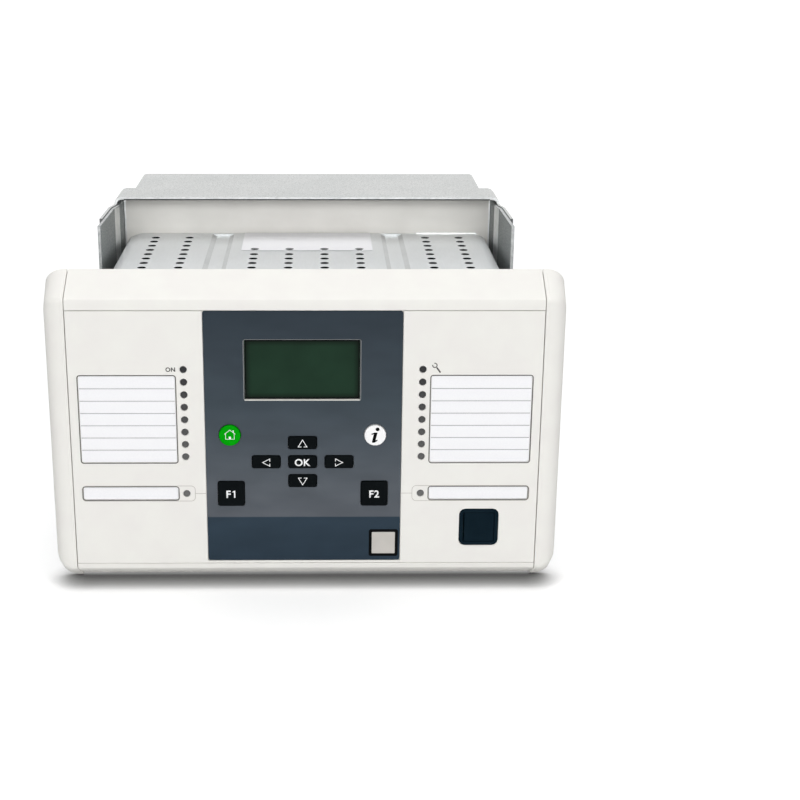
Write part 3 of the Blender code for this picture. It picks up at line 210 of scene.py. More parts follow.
# Screws and the earth stud, with (share of the radius, share of the height) round their heads
SCREW_RADIUS = 1.9
SCREW_TIP = (0.3, 0.4)  # how much thinner its tip is, and how long that is
SCREW_HEAD = 1.8
SCREW_DOME = ((0.95, 0.0), (1.0, 0.1), (1.0, 0.42), (0.93, 0.66), (0.78, 0.84), (0.5, 0.95), (0.2, 1.0))
RECESS_HALF, RECESS_REACH, RECESS_DEPTH = 0.5, 2.1, 1.1
RECESS_TAPER = (0.72, 1.05)  # its size at its foot and above the head
STUD_RADIUS = 2.5
STUD_CHAMFER = 0.4
STUD_TIP = 1.9
STUD_TIP_LENGTH = 1.4
THREAD_ROOT = 2.15
THREAD_PITCH = 0.8
NUT_GAP = 0.3
NUT_HEIGHT = 4.0
NUT_CHAMFER = 0.35
NUT_END = 0.94

# Data socket and terminal blocks
SOCKET_HALF_HEIGHT = 3.6
CONTACTS = 8
CONTACT_PITCH = 1.02
CONTACT_WIDTH = 0.44
CONTACT_TOP_GAP = 0.1
CONTACT_HEIGHT = 0.35
CONTACT_START = 0.6
CONTACT_LENGTH = 8.5
BLOCKS = 5
BLOCK_STEP = 6.0
BLOCK_SLOPE = 11.0
BLOCK_NECK_HALF = 5.5
BLOCK_SCREW = ((1.7, 0.05), (1.7, 0.45), (1.45, 0.7))  # radius and lift of its rings
WIRE_HOLES = 10
WIRE_HOLE = 5.2
CLAMP_GAP = 0.25
CLAMP_DEPTH = 5.7
CLAMP_THICKNESS = 0.5


# Nodes and materials


def srgb(red, green, blue):
    """A screen colour, from 0 to 255, as the linear colour that a shader takes."""
    levels = [c / 255 for c in (red, green, blue)]
    linear = [c / 12.92 if c <= 0.04045 else ((c + 0.055) / 1.055) ** 2.4 for c in levels]
    return (*linear, 1.0)


def grey(level):
    return (level, level, level)


def feed(tree, socket, value):
    """Links a value to a socket, or sets it there if it is a number or a colour."""
    if isinstance(value, bpy.types.NodeSocket):
        tree.links.new(value, socket)
    else:
        socket.default_value = value


def remapped(tree, value, source, target):
    """A value moved from one range of numbers to another."""
    node = tree.nodes.new("ShaderNodeMapRange")
    names = ("Value", "From Min", "From Max", "To Min", "To Max")
    for name, number in zip(names, (value, *source, *target)):
        feed(tree, node.inputs[name], number)
    return node.outputs["Result"]


def calculated(tree, operation, *values):
    node = tree.nodes.new("ShaderNodeMath")
    node.operation = operation
    for socket, value in zip(node.inputs, values):
        feed(tree, socket, value)
    return node.outputs[0]


def mixed(tree, blend, factor, one, other):
    """Two colours mixed or multiplied."""
    node = tree.nodes.new("ShaderNodeMix")
    node.data_type = "RGBA"
    node.blend_type = blend
    sockets = [s for s in node.inputs if s.enabled]
    for socket, value in zip(sockets, (factor, one, other)):
        feed(tree, socket, value)
    return next(s for s in node.outputs if s.enabled)


class Surface:
    """A Principled material whose colour, roughness and bump come from procedural nodes."""

    def __init__(self, name, roughness, metallic=0.0, gloss=0.5):
        self.material = bpy.data.materials.new(name)
        self.material.use_nodes = True
        self.tree = self.material.node_tree
        self.shader = self.tree.nodes["Principled BSDF"]
        self.shader.inputs["Roughness"].default_value = roughness
        self.shader.inputs["Metallic"].default_value = metallic
        self.shader.inputs["Specular IOR Level"].default_value = gloss
        self.place = self.node("ShaderNodeTexCoord").outputs["Object"]

    def node(self, kind, **settings):
        made = self.tree.nodes.new(kind)
        for key, value in settings.items():
            setattr(made, key, value)
        return made

    def link(self, output, target):
        self.tree.links.new(output, target)

    def stretched(self, stretch):
        mapping = self.node("ShaderNodeMapping")
        mapping.inputs["Scale"].default_value = stretch
        self.link(self.place, mapping.inputs["Vector"])
        return mapping.outputs["Vector"]

    def noise(self, size, detail=2.0, stretch=(1.0, 1.0, 1.0)):
        """Noise whose features are about that many millimetres across."""
        texture = self.node("ShaderNodeTexNoise")
        texture.inputs["Scale"].default_value = 1.0 / (size * MM)
        texture.inputs["Detail"].default_value = detail
        self.link(self.stretched(stretch), texture.inputs["Vector"])
        return texture.outputs["Fac"]

    def cells(self, size):
        """Voronoi cells of about that many millimetres."""
        texture = self.node("ShaderNodeTexVoronoi")
        texture.inputs["Scale"].default_value = 1.0 / (size * MM)
        self.link(self.place, texture.inputs["Vector"])
        return texture.outputs["Distance"]

    def ramp(self, factor, stops):
        """A colour for each place along a factor. Stops are (place, screen colour)."""
        ramp = self.node("ShaderNodeValToRGB")
        elements = ramp.color_ramp.elements
        while len(elements) < len(stops):
            elements.new(0.5)
        for element, (place, colour) in zip(elements, stops):
            element.position = place
            element.color = srgb(*colour)
        self.link(factor, ramp.inputs["Fac"])
        return ramp.outputs["Color"]

    def tones(self, factor, dark, pale):
        """A colour that goes from one tone to another over the middle of a noise."""
        return self.ramp(factor, [(NOISE_MIDDLE[0], dark), (NOISE_MIDDLE[1], pale)])

    def times(self, one, other):
        return mixed(self.tree, "MULTIPLY", 1.0, one, other)

    def height(self, axis, low, high):
        """A factor that runs from 0 to 1 between two places along an axis, in millimetres."""
        split = self.node("ShaderNodeSeparateXYZ")
        self.link(self.place, split.inputs["Vector"])
        return remapped(self.tree, split.outputs[axis], (low * MM, high * MM), (0.0, 1.0))

    def colour(self, output):
        self.link(output, self.shader.inputs["Base Color"])

    def roughness(self, factor, low, high):
        """Roughness between two numbers, over the middle of a noise."""
        spread = remapped(self.tree, factor, NOISE_MIDDLE, (low, high))
        self.link(spread, self.shader.inputs["Roughness"])

    def bump(self, height, depth):
        """Bump of about that many millimetres."""
        bump = self.node("ShaderNodeBump")
        bump.inputs["Distance"].default_value = depth * MM
        bump.inputs["Strength"].default_value = 1.0
        self.link(height, bump.inputs["Height"])
        self.link(bump.outputs["Normal"], self.shader.inputs["Normal"])


def moulded(name, dark, pale, roughness, grain=0.35, depth=0.008, gloss=0.4):
    """Moulded plastic: a fine grain and a faint cloudiness between two near colours."""
    surface = Surface(name, roughness, gloss=gloss)
    surface.colour(surface.ramp(surface.noise(16.0), [(0.35, dark), (0.65, pale)]))
    surface.roughness(surface.noise(5.0), roughness - 0.04, roughness + 0.05)
    surface.bump(surface.noise(grain, 3.0), depth)
    return surface.material


def make_cream():
    return moulded("cream_plastic", (240, 238, 234), (242, 241, 236), 0.5, gloss=0.1)


def make_panel_film():
    """The navy film: paler towards the keys, with a darker band under them."""
    surface = Surface("navy_panel_film", 0.42, gloss=0.1)
    low, high = PANEL_SHADES[0][0], PANEL_SHADES[-1][0]
    stops = [((z - low) / (high - low), colour) for z, colour in PANEL_SHADES]
    base = surface.ramp(surface.height("Z", low, high), stops)
    cloud = surface.tones(surface.noise(30.0, 2.0, (1.0, 1.0, 2.6)), grey(236), WHITE)
    surface.colour(surface.times(base, cloud))
    surface.roughness(surface.noise(9.0), 0.36, 0.5)
    surface.bump(surface.noise(0.3, 3.0), 0.006)
    return surface.material


def make_lcd():
    """The unlit display: a faint grid of dots, with painted shade that darkens it beside its border."""
    surface = Surface("lcd_display", 0.3, gloss=0.08)
    base = surface.tones(surface.noise(22.0), (24, 48, 34), (30, 57, 41))
    for axis in ("X", "Z"):
        wave = surface.node("ShaderNodeTexWave", wave_type="BANDS", bands_direction=axis)
        wave.inputs["Scale"].default_value = math.pi / (10 * LCD_DOT * MM)
        surface.link(surface.place, wave.inputs["Vector"])
        lines = surface.ramp(wave.outputs["Fac"], [(0.0, grey(238)), (0.3, WHITE)])
        base = surface.times(base, lines)
    # painted shade beside the border of the recessed display
    low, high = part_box("lcd_window")
    for axis, k in (("X", 0), ("Z", 2)):
        for edge, way in ((low[k] / MM, 1.0), (high[k] / MM, -1.0)):
            fade = surface.height(axis, edge, edge + way * LCD_FADE)
            shade = surface.ramp(fade, [(0.0, grey(120)), (1.0, WHITE)])
            base = surface.times(base, shade)
    surface.colour(base)
    return surface.material


def make_lamp():
    """Smoked plastic, darker at the top of the row as it is on the unlit lamps."""
    surface = Surface("smoked_lamp", 0.28, gloss=0.12)
    shades = [(0.0, (116, 116, 115)), (1.0, (50, 50, 52))]
    base = surface.ramp(surface.height("Z", *LAMP_SHADES), shades)
    cloud = surface.tones(surface.noise(1.2), grey(238), WHITE)
    surface.colour(surface.times(base, cloud))
    surface.bump(surface.noise(0.5), 0.004)
    return surface.material


def make_paper():
    surface = Surface("label_paper", 0.5)
    surface.colour(surface.tones(surface.noise(0.8, 4.0), (246, 246, 249), (250, 250, 252)))
    surface.bump(surface.noise(0.25, 4.0, (1.0, 1.0, 3.0)), 0.004)
    return surface.material


def make_galvanised():
    """Zinc coated sheet: a fine speckle of pale and dark grains over soft blotches."""
    surface = Surface("galvanised_sheet", 0.45, metallic=0.7)
    blotch = surface.tones(surface.noise(30.0, 2.0), (201, 203, 202), (208, 209, 208))
    grains = [(0.32, (196, 197, 197)), (0.5, grey(246)), (0.68, WHITE)]
    speckle = surface.ramp(surface.noise(0.7, 4.0), grains)
    surface.colour(surface.times(blotch, speckle))
    surface.roughness(surface.noise(1.2, 3.0), 0.4, 0.52)
    surface.bump(surface.noise(0.5, 3.0), 0.004)
    return surface.material


def make_shaded_arm_sheet():
    """The arms' zinc with painted shade: darker than the bracket's, darker again towards the bottom, and
    with a fine grain.
    """
    surface = Surface("shaded_arm_sheet", 0.5, metallic=0.6)
    blotch = surface.tones(surface.noise(26.0, 2.0), (148, 153, 153), (157, 162, 162))
    grains = [(0.34, (186, 187, 187)), (0.66, WHITE)]
    speckle = surface.ramp(surface.noise(0.8, 4.0), grains)
    # painted shade, darker towards the bottom of the arms
    shades = [(0.0, (196, 196, 197)), (1.0, WHITE)]
    shade = surface.ramp(surface.height("Z", *ARM_SHADES), shades)
    surface.colour(surface.times(surface.times(blotch, speckle), shade))
    surface.roughness(surface.noise(1.2, 3.0), 0.42, 0.56)
    surface.bump(surface.noise(0.5, 3.0), 0.004)
    return surface.material


def make_case_sheet():
    """Satin zinc coated sheet with a faint grain along the case."""
    surface = Surface("satin_sheet", 0.36, metallic=0.45)
    grain = surface.noise(1.1, 3.0, (1.0, 0.12, 1.0))
    soft = surface.tones(surface.noise(40.0, 2.0), (228, 231, 232), (234, 236, 237))
    surface.colour(surface.times(soft, surface.tones(grain, grey(248), WHITE)))
    surface.roughness(grain, 0.3, 0.42)
    surface.bump(surface.noise(0.8, 3.0, (1.0, 0.2, 1.0)), 0.006)
    return surface.material


def make_bulkhead_paint():
    """Pale matt paint with a fine orange-peel texture, and painted shade that darkens it towards the top,
    under the hood.
    """
    surface = Surface("pale_paint", 0.6, gloss=0.15)
    soft = surface.tones(surface.noise(18.0), (235, 233, 228), (241, 239, 234))
    # painted shade under the hood, darker towards the top
    shades = [(0.0, WHITE), (0.5, grey(236)), (1.0, grey(172))]
    shade = surface.ramp(surface.height("Z", *BULKHEAD_SHADES), shades)
    surface.colour(surface.times(soft, shade))
    surface.bump(surface.noise(0.9, 2.0), 0.02)
    return surface.material


def make_board():
    """Solder mask over a faint pattern of tracks."""
    surface = Surface("solder_mask", 0.38)
    tracks = surface.cells(2.4)
    greens = [(0.2, (26, 92, 52)), (0.5, (18, 72, 40)), (0.8, (30, 104, 60))]
    surface.colour(surface.ramp(tracks, greens))
    surface.bump(tracks, 0.03)
    return surface.material


def make_rubber():
    surface = Surface("dark_foam", 0.85)
    pores = surface.cells(0.6)
    surface.colour(surface.ramp(pores, [(0.1, (20, 20, 21)), (0.6, (42, 42, 43))]))
    surface.bump(pores, 0.08)
    return surface.material


def make_metal(name, dark, pale, low, high):
    """Plated metal with fine turning marks."""
    surface = Surface(name, low, metallic=1.0)
    surface.colour(surface.tones(surface.noise(3.0, 3.0), dark, pale))
    surface.roughness(surface.noise(0.6, 3.0), low, high)
    surface.bump(surface.noise(0.35, 2.0, (1.0, 3.0, 1.0)), 0.006)
    return surface.material


def make_core():
    """Stacked steel laminations."""
    surface = Surface("laminations", 0.5, metallic=0.8)
    layers = surface.noise(0.5, 1.0, (1.0, 0.02, 0.02))
    surface.colour(surface.ramp(layers, [(0.35, (92, 92, 94)), (0.65, (150, 150, 152))]))
    surface.bump(layers, 0.1)
    return surface.material


PLAIN_FINISHES = {  # dark and pale tone, roughness, size and depth of the grain, gloss
    # painted shade on the sloping walls of the case's channels
    "case_shade": ((198, 200, 200), (206, 208, 208), 0.4, 1.0, 0.004, 0.4),
    # painted shade inside the vent holes
    "vent_shade": ((26, 28, 29), (36, 38, 39), 0.6, 0.4, 0.004, 0.1),
    "dark_edge": ((92, 94, 95), (104, 106, 107), 0.5, 0.5, 0.006, 0.3),
    # painted shadow under the hood's front edge
    "hood_painted_shadow": ((60, 61, 61), (74, 75, 75), 0.5, 0.5, 0.006, 0.1),
    "white_print": ((250, 251, 252), (253, 254, 254), 0.5, 0.3, 0.004),
    "dark_print": ((64, 62, 60), (76, 74, 71), 0.5, 0.3, 0.004),
    "row_print": ((150, 150, 151), (164, 164, 165), 0.5, 0.3, 0.004),
    "black_print": ((8, 9, 10), (12, 13, 14), 0.5, 0.3, 0.004, 0.02),
    "sign_print": ((38, 37, 36), (48, 46, 45), 0.5, 0.3, 0.004),
    "faint_print": ((192, 188, 182), (200, 196, 190), 0.5, 0.3, 0.004),
    "grey_rim": ((150, 153, 154), (162, 165, 166), 0.4, 0.3, 0.004),
    # painted highlight on the lower side of the display's rim
    "rim_painted_highlight": ((205, 205, 197), (212, 212, 205), 0.4, 0.3, 0.004),
}


def make_materials():
    black = ((11, 15, 17), (14, 18, 20))
    plain = {name: moulded(name, *look) for name, look in PLAIN_FINISHES.items()}
    return plain | {
        "cream_plastic": make_cream(),
        "navy_panel": make_panel_film(),
        "navy_flap": moulded("navy_flap_plastic", (13, 28, 37), (17, 32, 41), 0.4, 0.3, 0.006, 0.02),
        "key_black": moulded("key_black_plastic", *black, 0.42, 0.4, 0.006, 0.02),
        "key_green": moulded("key_green_plastic", (0, 160, 6), (2, 168, 10), 0.34, gloss=0.03),
        "key_white": moulded("key_white_plastic", (252, 252, 252), (254, 254, 254), 0.34),
        "lcd_glass": make_lcd(),
        "lamp": make_lamp(),
        "label_white": make_paper(),
        "rubber": make_rubber(),
        "board_green": make_board(),
        "galvanised": make_galvanised(),
        "shaded_arm_sheet": make_shaded_arm_sheet(),
        # bright metal for painted highlights: the arms' joggles and the strips at the bulkhead and the case
        "painted_highlight": make_metal("painted_highlight", (232, 234, 234), (246, 247, 247), 0.3, 0.42),
        "hood_edge": make_metal("hood_edge", (176, 178, 178), (200, 202, 202), 0.42, 0.55),
        "cut_edge": make_metal("cut_edge", (150, 153, 153), (188, 190, 190), 0.42, 0.55),
        "case_sheet": make_case_sheet(),
        "grey_plastic": make_bulkhead_paint(),
        "terminal_green": moulded("terminal_green_plastic", (36, 108, 58), (44, 120, 66), 0.45),
        "core_steel": make_core(),
        "bright_metal": make_metal("plated_metal", (176, 176, 172), (206, 206, 202), 0.24, 0.4),
        "gold": make_metal("gold_plating", (201, 162, 74), (226, 190, 98), 0.2, 0.32),
    }


MATERIALS = make_materials()

# the arms get a copy of the bracket's zinc with painted shade
FINISHES = {"arm_left": "shaded_arm_sheet", "arm_right": "shaded_arm_sheet"}  # nodes with a finish of their own


def slot_of(node):
    """The record's material slot of a node."""
    return next(s["material_slot"] for s in frame["record"]["subparts"] if s["node"] == node)


def finish_of(node):
    return FINISHES.get(node, slot_of(node))


def paint(obj, name):
    obj.data.materials.clear()
    obj.data.materials.append(MATERIALS[name])


# Outlines in X and Z, in millimetres


def arc(centre, radius, start, end, steps):
    """Points on an arc, angles in degrees, both ends included."""
    angles = [math.radians(start + (end - start) * k / steps) for k in range(steps + 1)]
    return [(centre[0] + radius * math.cos(a), centre[1] + radius * math.sin(a)) for a in angles]


def rounded(low, high, radius, steps=6):
    """A rectangle between two corners, with round corners."""
    corners = [
        (high[0] - radius, high[1] - radius, 0),
        (low[0] + radius, high[1] - radius, 90),
        (low[0] + radius, low[1] + radius, 180),
        (high[0] - radius, low[1] + radius, 270),
    ]
    outline = []
    for x, z, start in corners:
        outline += arc((x, z), radius, start, start + 90, steps)
    return outline


def inset(outline, distance, closed=True):
    """An outline moved to the left of its direction, which is inwards where it runs anticlockwise."""
    moved = []
    count = len(outline)
    for k, point in enumerate(outline):
        here = Vector(point)
        ways = []
        if closed or k:
            ways.append((here - Vector(outline[k - 1])).normalized())
        if closed or k + 1 < count:
            ways.append((Vector(outline[(k + 1) % count]) - here).normalized())
        sides = [Vector((-way.y, way.x)) for way in ways]
        miter = sum(sides, Vector((0.0, 0.0))).normalized()
        moved.append(tuple(here + miter * (distance / miter.dot(sides[0]))))
    return moved


def rectangle(x_range, z_range):
    (left, right), (base, top) = x_range, z_range
    return [(left, base), (right, base), (right, top), (left, top)]


def shifted(points, centre):
    return [(x + centre[0], z + centre[1]) for x, z in points]


def circle(centre, radius, sides=32):
    return arc(centre, radius, 0, 360, sides)[:-1]


# Meshes


def in_scene(name, data):
    """A new object in the scene."""
    obj = bpy.data.objects.new(name, data)
    bpy.context.scene.collection.objects.link(obj)
    return obj


def object_from(name, bm):
    """A new object in the scene that takes over a mesh."""
    mesh = bpy.data.meshes.new(name)
    bm.to_mesh(mesh)
    bm.free()
    return in_scene(name, mesh)


def to_metres(bm):
    """Turns a mesh in millimetres into metres and its faces outwards."""
    bmesh.ops.scale(bm, verts=bm.verts, vec=(MM, MM, MM))
    bmesh.ops.recalc_face_normals(bm, faces=bm.faces)


def mesh_object(name, bm, material_name, body=BODY):
    """Turns a mesh in millimetres into a piece that rides on a body."""
    to_metres(bm)
    obj = object_from(name, bm)
    paint(obj, material_name)
    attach(obj, body)
    return obj


def add_loops(bm, loops, closed=False):
    """Joins rings of points into a skin. Closed joins the last ring to the first one."""
    made = [[bm.verts.new(p) for p in loop] for loop in loops]
    pairs = list(zip(made, made[1:]))
    if closed:
        pairs.append((made[-1], made[0]))
    count = len(made[0])
    for low, high in pairs:
        for k in range(count):
            following = (k + 1) % count
            bm.faces.new((low[k], low[following], high[following], high[k]))
    if not closed:
        bm.faces.new(list(reversed(made[0])))
        bm.faces.new(made[-1])


def add_plate(bm, outline, front, thickness):
    """A thin plate, its face at a place along Y."""
    add_loops(bm, [[(x, y, z) for x, z in outline] for y in (front, front + thickness)])


def add_ring(bm, outline, width, front, thickness):
    """A thin line along the inside of an outline."""
    inner = inset(outline, width)
    back = front + thickness
    loops = [(outline, front), (inner, front), (inner, back), (outline, back)]
    add_loops(bm, [[(x, y, z) for x, z in line] for line, y in loops], closed=True)


def add_line(bm, points, width, front, thickness):
    """A flat line of even width through a row of points."""
    outline = inset(points, -width / 2, False) + list(reversed(inset(points, width / 2, False)))
    add_plate(bm, outline, front, thickness)


def printed_y(face_y):
    """Where the front of a printed mark lies in front of a face."""
    return face_y - PRINT_LIFT - PRINT


def low_high(node):
    """Lowest and highest corner of a node, in millimetres."""
    return tuple(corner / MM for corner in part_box(node))


def face_of(node):
    """Centre of a node in X and Z, and the place of its front face along Y."""
    low, high = low_high(node)
    return ((low.x + high.x) / 2, (low.z + high.z) / 2), low.y


def stand_in(node, bm, bevel, segments=2, angle=30.0, patches=()):
    """Softens the edges of a mesh in metres and makes it the piece that stands for a node.

    Each patch is a finish and a test that says which faces have it.
    """
    sharp = [e for e in bm.edges if len(e.link_faces) == 2 and e.calc_face_angle() > math.radians(angle)]
    bm.normal_update()
    for index, (_, chosen) in enumerate(patches, 1):
        for face in bm.faces:
            if chosen(face):
                face.material_index = index
    bmesh.ops.bevel(
        bm, geom=sharp, offset=bevel * MM, segments=segments, profile=0.5, affect="EDGES", clamp_overlap=True
    )
    for face in bm.faces:
        face.smooth = True
    obj = object_from(f"{node}_finished", bm)
    normals = obj.modifiers.new("flat_faces", "WEIGHTED_NORMAL")
    normals.keep_sharp = True
    for finish in [finish_of(node)] + [finish for finish, _ in patches]:
        obj.data.materials.append(MATERIALS[finish])
    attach(obj, frame["nodes"][node]["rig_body"])
    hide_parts(node)
    return obj


def cleaned(bm):
    """A mesh with its double points joined and its flat faces whole."""
    bmesh.ops.remove_doubles(bm, verts=bm.verts, dist=0.002 * MM)
    bmesh.ops.dissolve_limit(bm, angle_limit=math.radians(0.5), verts=bm.verts, edges=bm.edges)
    return bm


def copy_of(node):
    bm = bmesh.new()
    bm.from_mesh(frame["nodes"][node].data)
    return cleaned(bm)


def dress(node, bevel, segments=2, patches=()):
    return stand_in(node, copy_of(node), bevel, segments, patches=patches)


def evaluated_mesh(obj):
    """The mesh of an object as its modifiers or its letters make it."""
    return bpy.data.meshes.new_from_object(obj.evaluated_get(bpy.context.evaluated_depsgraph_get()))


def difference(bm, cutter):
    """Takes one mesh out of another, both in metres."""
    drafts = []
    for part in (bm, cutter):
        mesh = bpy.data.meshes.new("draft")
        part.to_mesh(mesh)
        drafts.append(in_scene("draft", mesh))
    modifier = drafts[0].modifiers.new("cut", "BOOLEAN")
    modifier.solver = "EXACT"
    modifier.object = drafts[1]
    result = evaluated_mesh(drafts[0])
    bm.clear()
    bm.from_mesh(result)
    bpy.data.meshes.remove(result)
    for draft in drafts:
        mesh = draft.data
        bpy.data.objects.remove(draft)
        bpy.data.meshes.remove(mesh)
    cutter.free()


def hole_centres(node):
    """Centres of the round holes in a node's top face, found from the corners round each."""
    vertices = frame["nodes"][node].data.vertices
    top = max(v.co.z for v in vertices) - 0.01 * MM
    corners = sorted({(round(v.co.x / MM, 2), round(v.co.y / MM, 2)) for v in vertices if v.co.z > top})
    centres = []
    while corners:
        start = Vector(corners[0])
        near = [c for c in corners if (Vector(c) - start).length < 2 * VENT_RADIUS + 0.6]
        corners = [c for c in corners if c not in near]
        if len(near) == VENT_CORNERS:
            centres.append(sum((Vector(c) for c in near), Vector((0.0, 0.0))) / VENT_CORNERS)
    return centres


def at_front_end(face, node):
    """Whether a face closes the front end of a node."""
    return abs(face.normal.y) > 0.7 and face.calc_center_median().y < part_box(node)[0].y + MM


def make_bracket():
    """The bracket, with its hood's edge bright and its wings' edges dark."""
    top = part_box("rear_bracket")[1].z - 0.1 * MM

    def hood_edge(face):
        return face.normal.y < -0.7 and max(v.co.z for v in face.verts) > top

    patches = [("dark_edge", lambda face: at_front_end(face, "rear_bracket")), ("hood_edge", hood_edge)]
    return dress("rear_bracket", 0.45, 3, patches)


def make_arm(node):
    """An arm with bright cut edges and a painted highlight on its joggle."""
    def cut_edge(face):
        return abs(face.normal.z) > 0.7 or at_front_end(face, node)

    patches = [("cut_edge", cut_edge), ("painted_highlight", lambda face: 0.95 < abs(face.normal.x) < 0.99)]
    return dress(node, 0.25, 2, patches)


def make_hood_shadow_and_edge_highlight():
    """A dark strip under the hood's front edge, which is painted shadow, and a bright strip round the
    bulkhead's folded edge, which is painted highlight.
    """
    low, high = low_high("rear_bulkhead")
    bracket_low, bracket_high = low_high("rear_bracket")
    # a dark strip under the hood's front edge: painted shadow
    half = high.x - HOOD_SHADOW_END_GAP
    heights = [bracket_high.z - HOOD_SHEET + reach for reach in HOOD_SHADOW_RANGE]
    bm = bmesh.new()
    front = bracket_low.y + WING_REACH - HOOD_SHADOW_LIFT
    add_plate(bm, rectangle((-half, half), heights), front, STRIP)
    mesh_object("hood_shadow_strip", bm, "hood_painted_shadow")
    # a bright strip round the bulkhead's folded edge: painted highlight
    reach, top = high.x - FOLD_EDGE, high.z - FOLD_EDGE
    line = [(reach, FOLD_BASE)]
    line += arc((reach - FOLD_RADIUS, top - FOLD_RADIUS), FOLD_RADIUS, 0, 90, 8)
    line += [(-x, z) for x, z in reversed(line)]
    bm = bmesh.new()
    add_line(bm, line, FOLD_WIDTH, low.y - HIGHLIGHT_LIFT - STRIP, STRIP)
    mesh_object("bulkhead_edge_highlight", bm, "painted_highlight")


def make_round_holes(node, radius, bevel):
    """A node whose eight-sided holes are made round, with painted shade on their walls and on the walls of
    its channels.
    """
    high = low_high(node)[1]
    centres = hole_centres(node)

    # the walls of the holes, which get painted shade
    def in_hole(face):
        place = face.calc_center_median().xy / MM
        return abs(face.normal.z) < 0.3 and any((place - centre).length < radius + 0.1 for centre in centres)

    # the sloping walls of the channels, which get painted shade
    def channel_wall(face):
        return 0.3 < abs(face.normal.x) < 0.6 and abs(face.calc_center_median().x) < 0.7 * high.x * MM

    cutter = bmesh.new()
    for centre in centres:
        ring = circle(centre, radius, VENT_SIDES)
        add_loops(cutter, [[(x, y, z) for x, y in ring] for z in (high.z - VENT_DEPTH, high.z + 1.0)])
    to_metres(cutter)
    bm = copy_of(node)
    difference(bm, cutter)
    # painted shade on the channel walls and inside the holes
    patches = [("case_shade", channel_wall), ("vent_shade", in_hole)]
    return stand_in(node, cleaned(bm), bevel, patches=patches)


def make_case_edge_highlight():
    """A painted highlight along the rear edge of the case's top, right of the right channel."""
    back = low_high("rear_bulkhead")[0].y
    top = low_high("case_cover")[1].z
    heights = [top + reach for reach in CASE_HIGHLIGHT_RANGE]
    bm = bmesh.new()
    add_plate(bm, rectangle(CASE_HIGHLIGHT, heights), back - HIGHLIGHT_LIFT - STRIP, STRIP)
    mesh_object("case_edge_highlight", bm, "painted_highlight")


def cap_profile(face_inset, edge_inset, height):
    """Section of an end cap in Y and Z, its kinks between the face and the slopes rounded."""
    depth = low_high("end_cap_left")[1].y - FACE_Y
    back_top, back_base = Vector((depth, height - edge_inset)), Vector((depth, edge_inset))
    top = Vector((face_inset, height - TOP_DROP - edge_inset))
    base = Vector((face_inset, BASE_KINK_Z + edge_inset))
    outline = [back_base]
    for kink, before, after in ((base, back_base, top), (top, base, back_top)):
        start = kink + (before - kink).normalized() * KINK_ROUND
        end = kink + (after - kink).normalized() * KINK_ROUND
        for k in range(KINK_STEPS + 1):
            t = k / KINK_STEPS
            outline.append(start.lerp(kink, t).lerp(kink.lerp(end, t), t))
    return outline + [back_top]


def make_smooth_cap(side, node):
    """An end cap with a fine groove beside its seam and a smooth roll at its outer side."""
    low, high = low_high(node)
    inner, outer = sorted((abs(low.x), abs(high.x)))
    half, depth = CAP_GROOVE_SIZE
    places = [(inner, CAP_EDGE, CAP_EDGE), (inner + 0.3 * CAP_EDGE, 0.3 * CAP_EDGE, 0.3 * CAP_EDGE)]
    places.append((inner + CAP_EDGE, 0.0, 0.0))
    groove = inner + CAP_GROOVE
    roll_start = outer - CAP_CORNER
    for x, inset_there in ((groove - half, 0.0), (groove, depth), (groove + half, 0.0)):
        places.append((x, inset_there, inset_there))
    for k in range(1, CAP_STEPS + 1):
        turn = math.radians(90.0 * k / CAP_STEPS)
        share = 1 - math.cos(turn)
        places.append((roll_start + CAP_CORNER * math.sin(turn), CAP_ROUND * share, CAP_DROP * share))
    rings = []
    for x, face_inset, edge_inset in places:
        profile = cap_profile(face_inset, edge_inset, high.z)
        rings.append([(side * x, FACE_Y + p.x, p.y) for p in profile])
    bm = bmesh.new()
    add_loops(bm, rings)
    to_metres(bm)
    return stand_in(node, bm, bevel=0.1, segments=1, angle=60.0)


def lathed(bm, centre, way, profile, sides):
    """A turned form: rings of (radius, place along its axis) round a centre."""
    axis = Vector(way)
    across = Vector((0.0, 0.0, 1.0))
    up = axis.cross(across)
    turns = [2 * math.pi * t / sides for t in range(sides)]
    spokes = [across * math.cos(turn) + up * math.sin(turn) for turn in turns]
    rings = [[centre + axis * along + spoke * radius for spoke in spokes] for radius, along in profile]
    add_loops(bm, rings)


def make_screw(node):
    """A pan head with a cross recess on its shaft."""
    low, high = low_high(node)
    side = 1.0 if high.x > 0 else -1.0
    tip, outer = sorted((abs(low.x), abs(high.x)))
    reach = (high.z - low.z) / 2
    middle = Vector((0.0, (low.y + high.y) / 2, (low.z + high.z) / 2))
    seat = outer - SCREW_HEAD
    thinner, tip_length = SCREW_TIP
    profile = [(SCREW_RADIUS - thinner, tip), (SCREW_RADIUS, tip + tip_length), (SCREW_RADIUS, seat)]
    profile += [(reach * share, seat + SCREW_HEAD * rise) for share, rise in SCREW_DOME]
    bm = bmesh.new()
    lathed(bm, middle, (side, 0.0, 0.0), profile, 32)
    half, arm = RECESS_HALF, RECESS_REACH
    cross = [(half, half), (half, arm), (-half, arm), (-half, half), (-arm, half), (-arm, -half)]
    cross += [(-y, -z) for y, z in cross]
    places = (outer - RECESS_DEPTH, outer + 0.5)
    rings = []
    for along, size in zip(places, RECESS_TAPER):
        rings.append([(side * along, middle.y + y * size, middle.z + z * size) for y, z in cross])
    cutter = bmesh.new()
    add_loops(cutter, rings)
    for part in (bm, cutter):
        to_metres(part)
    difference(bm, cutter)
    return stand_in(node, bm, bevel=0.08, segments=1, angle=50.0)


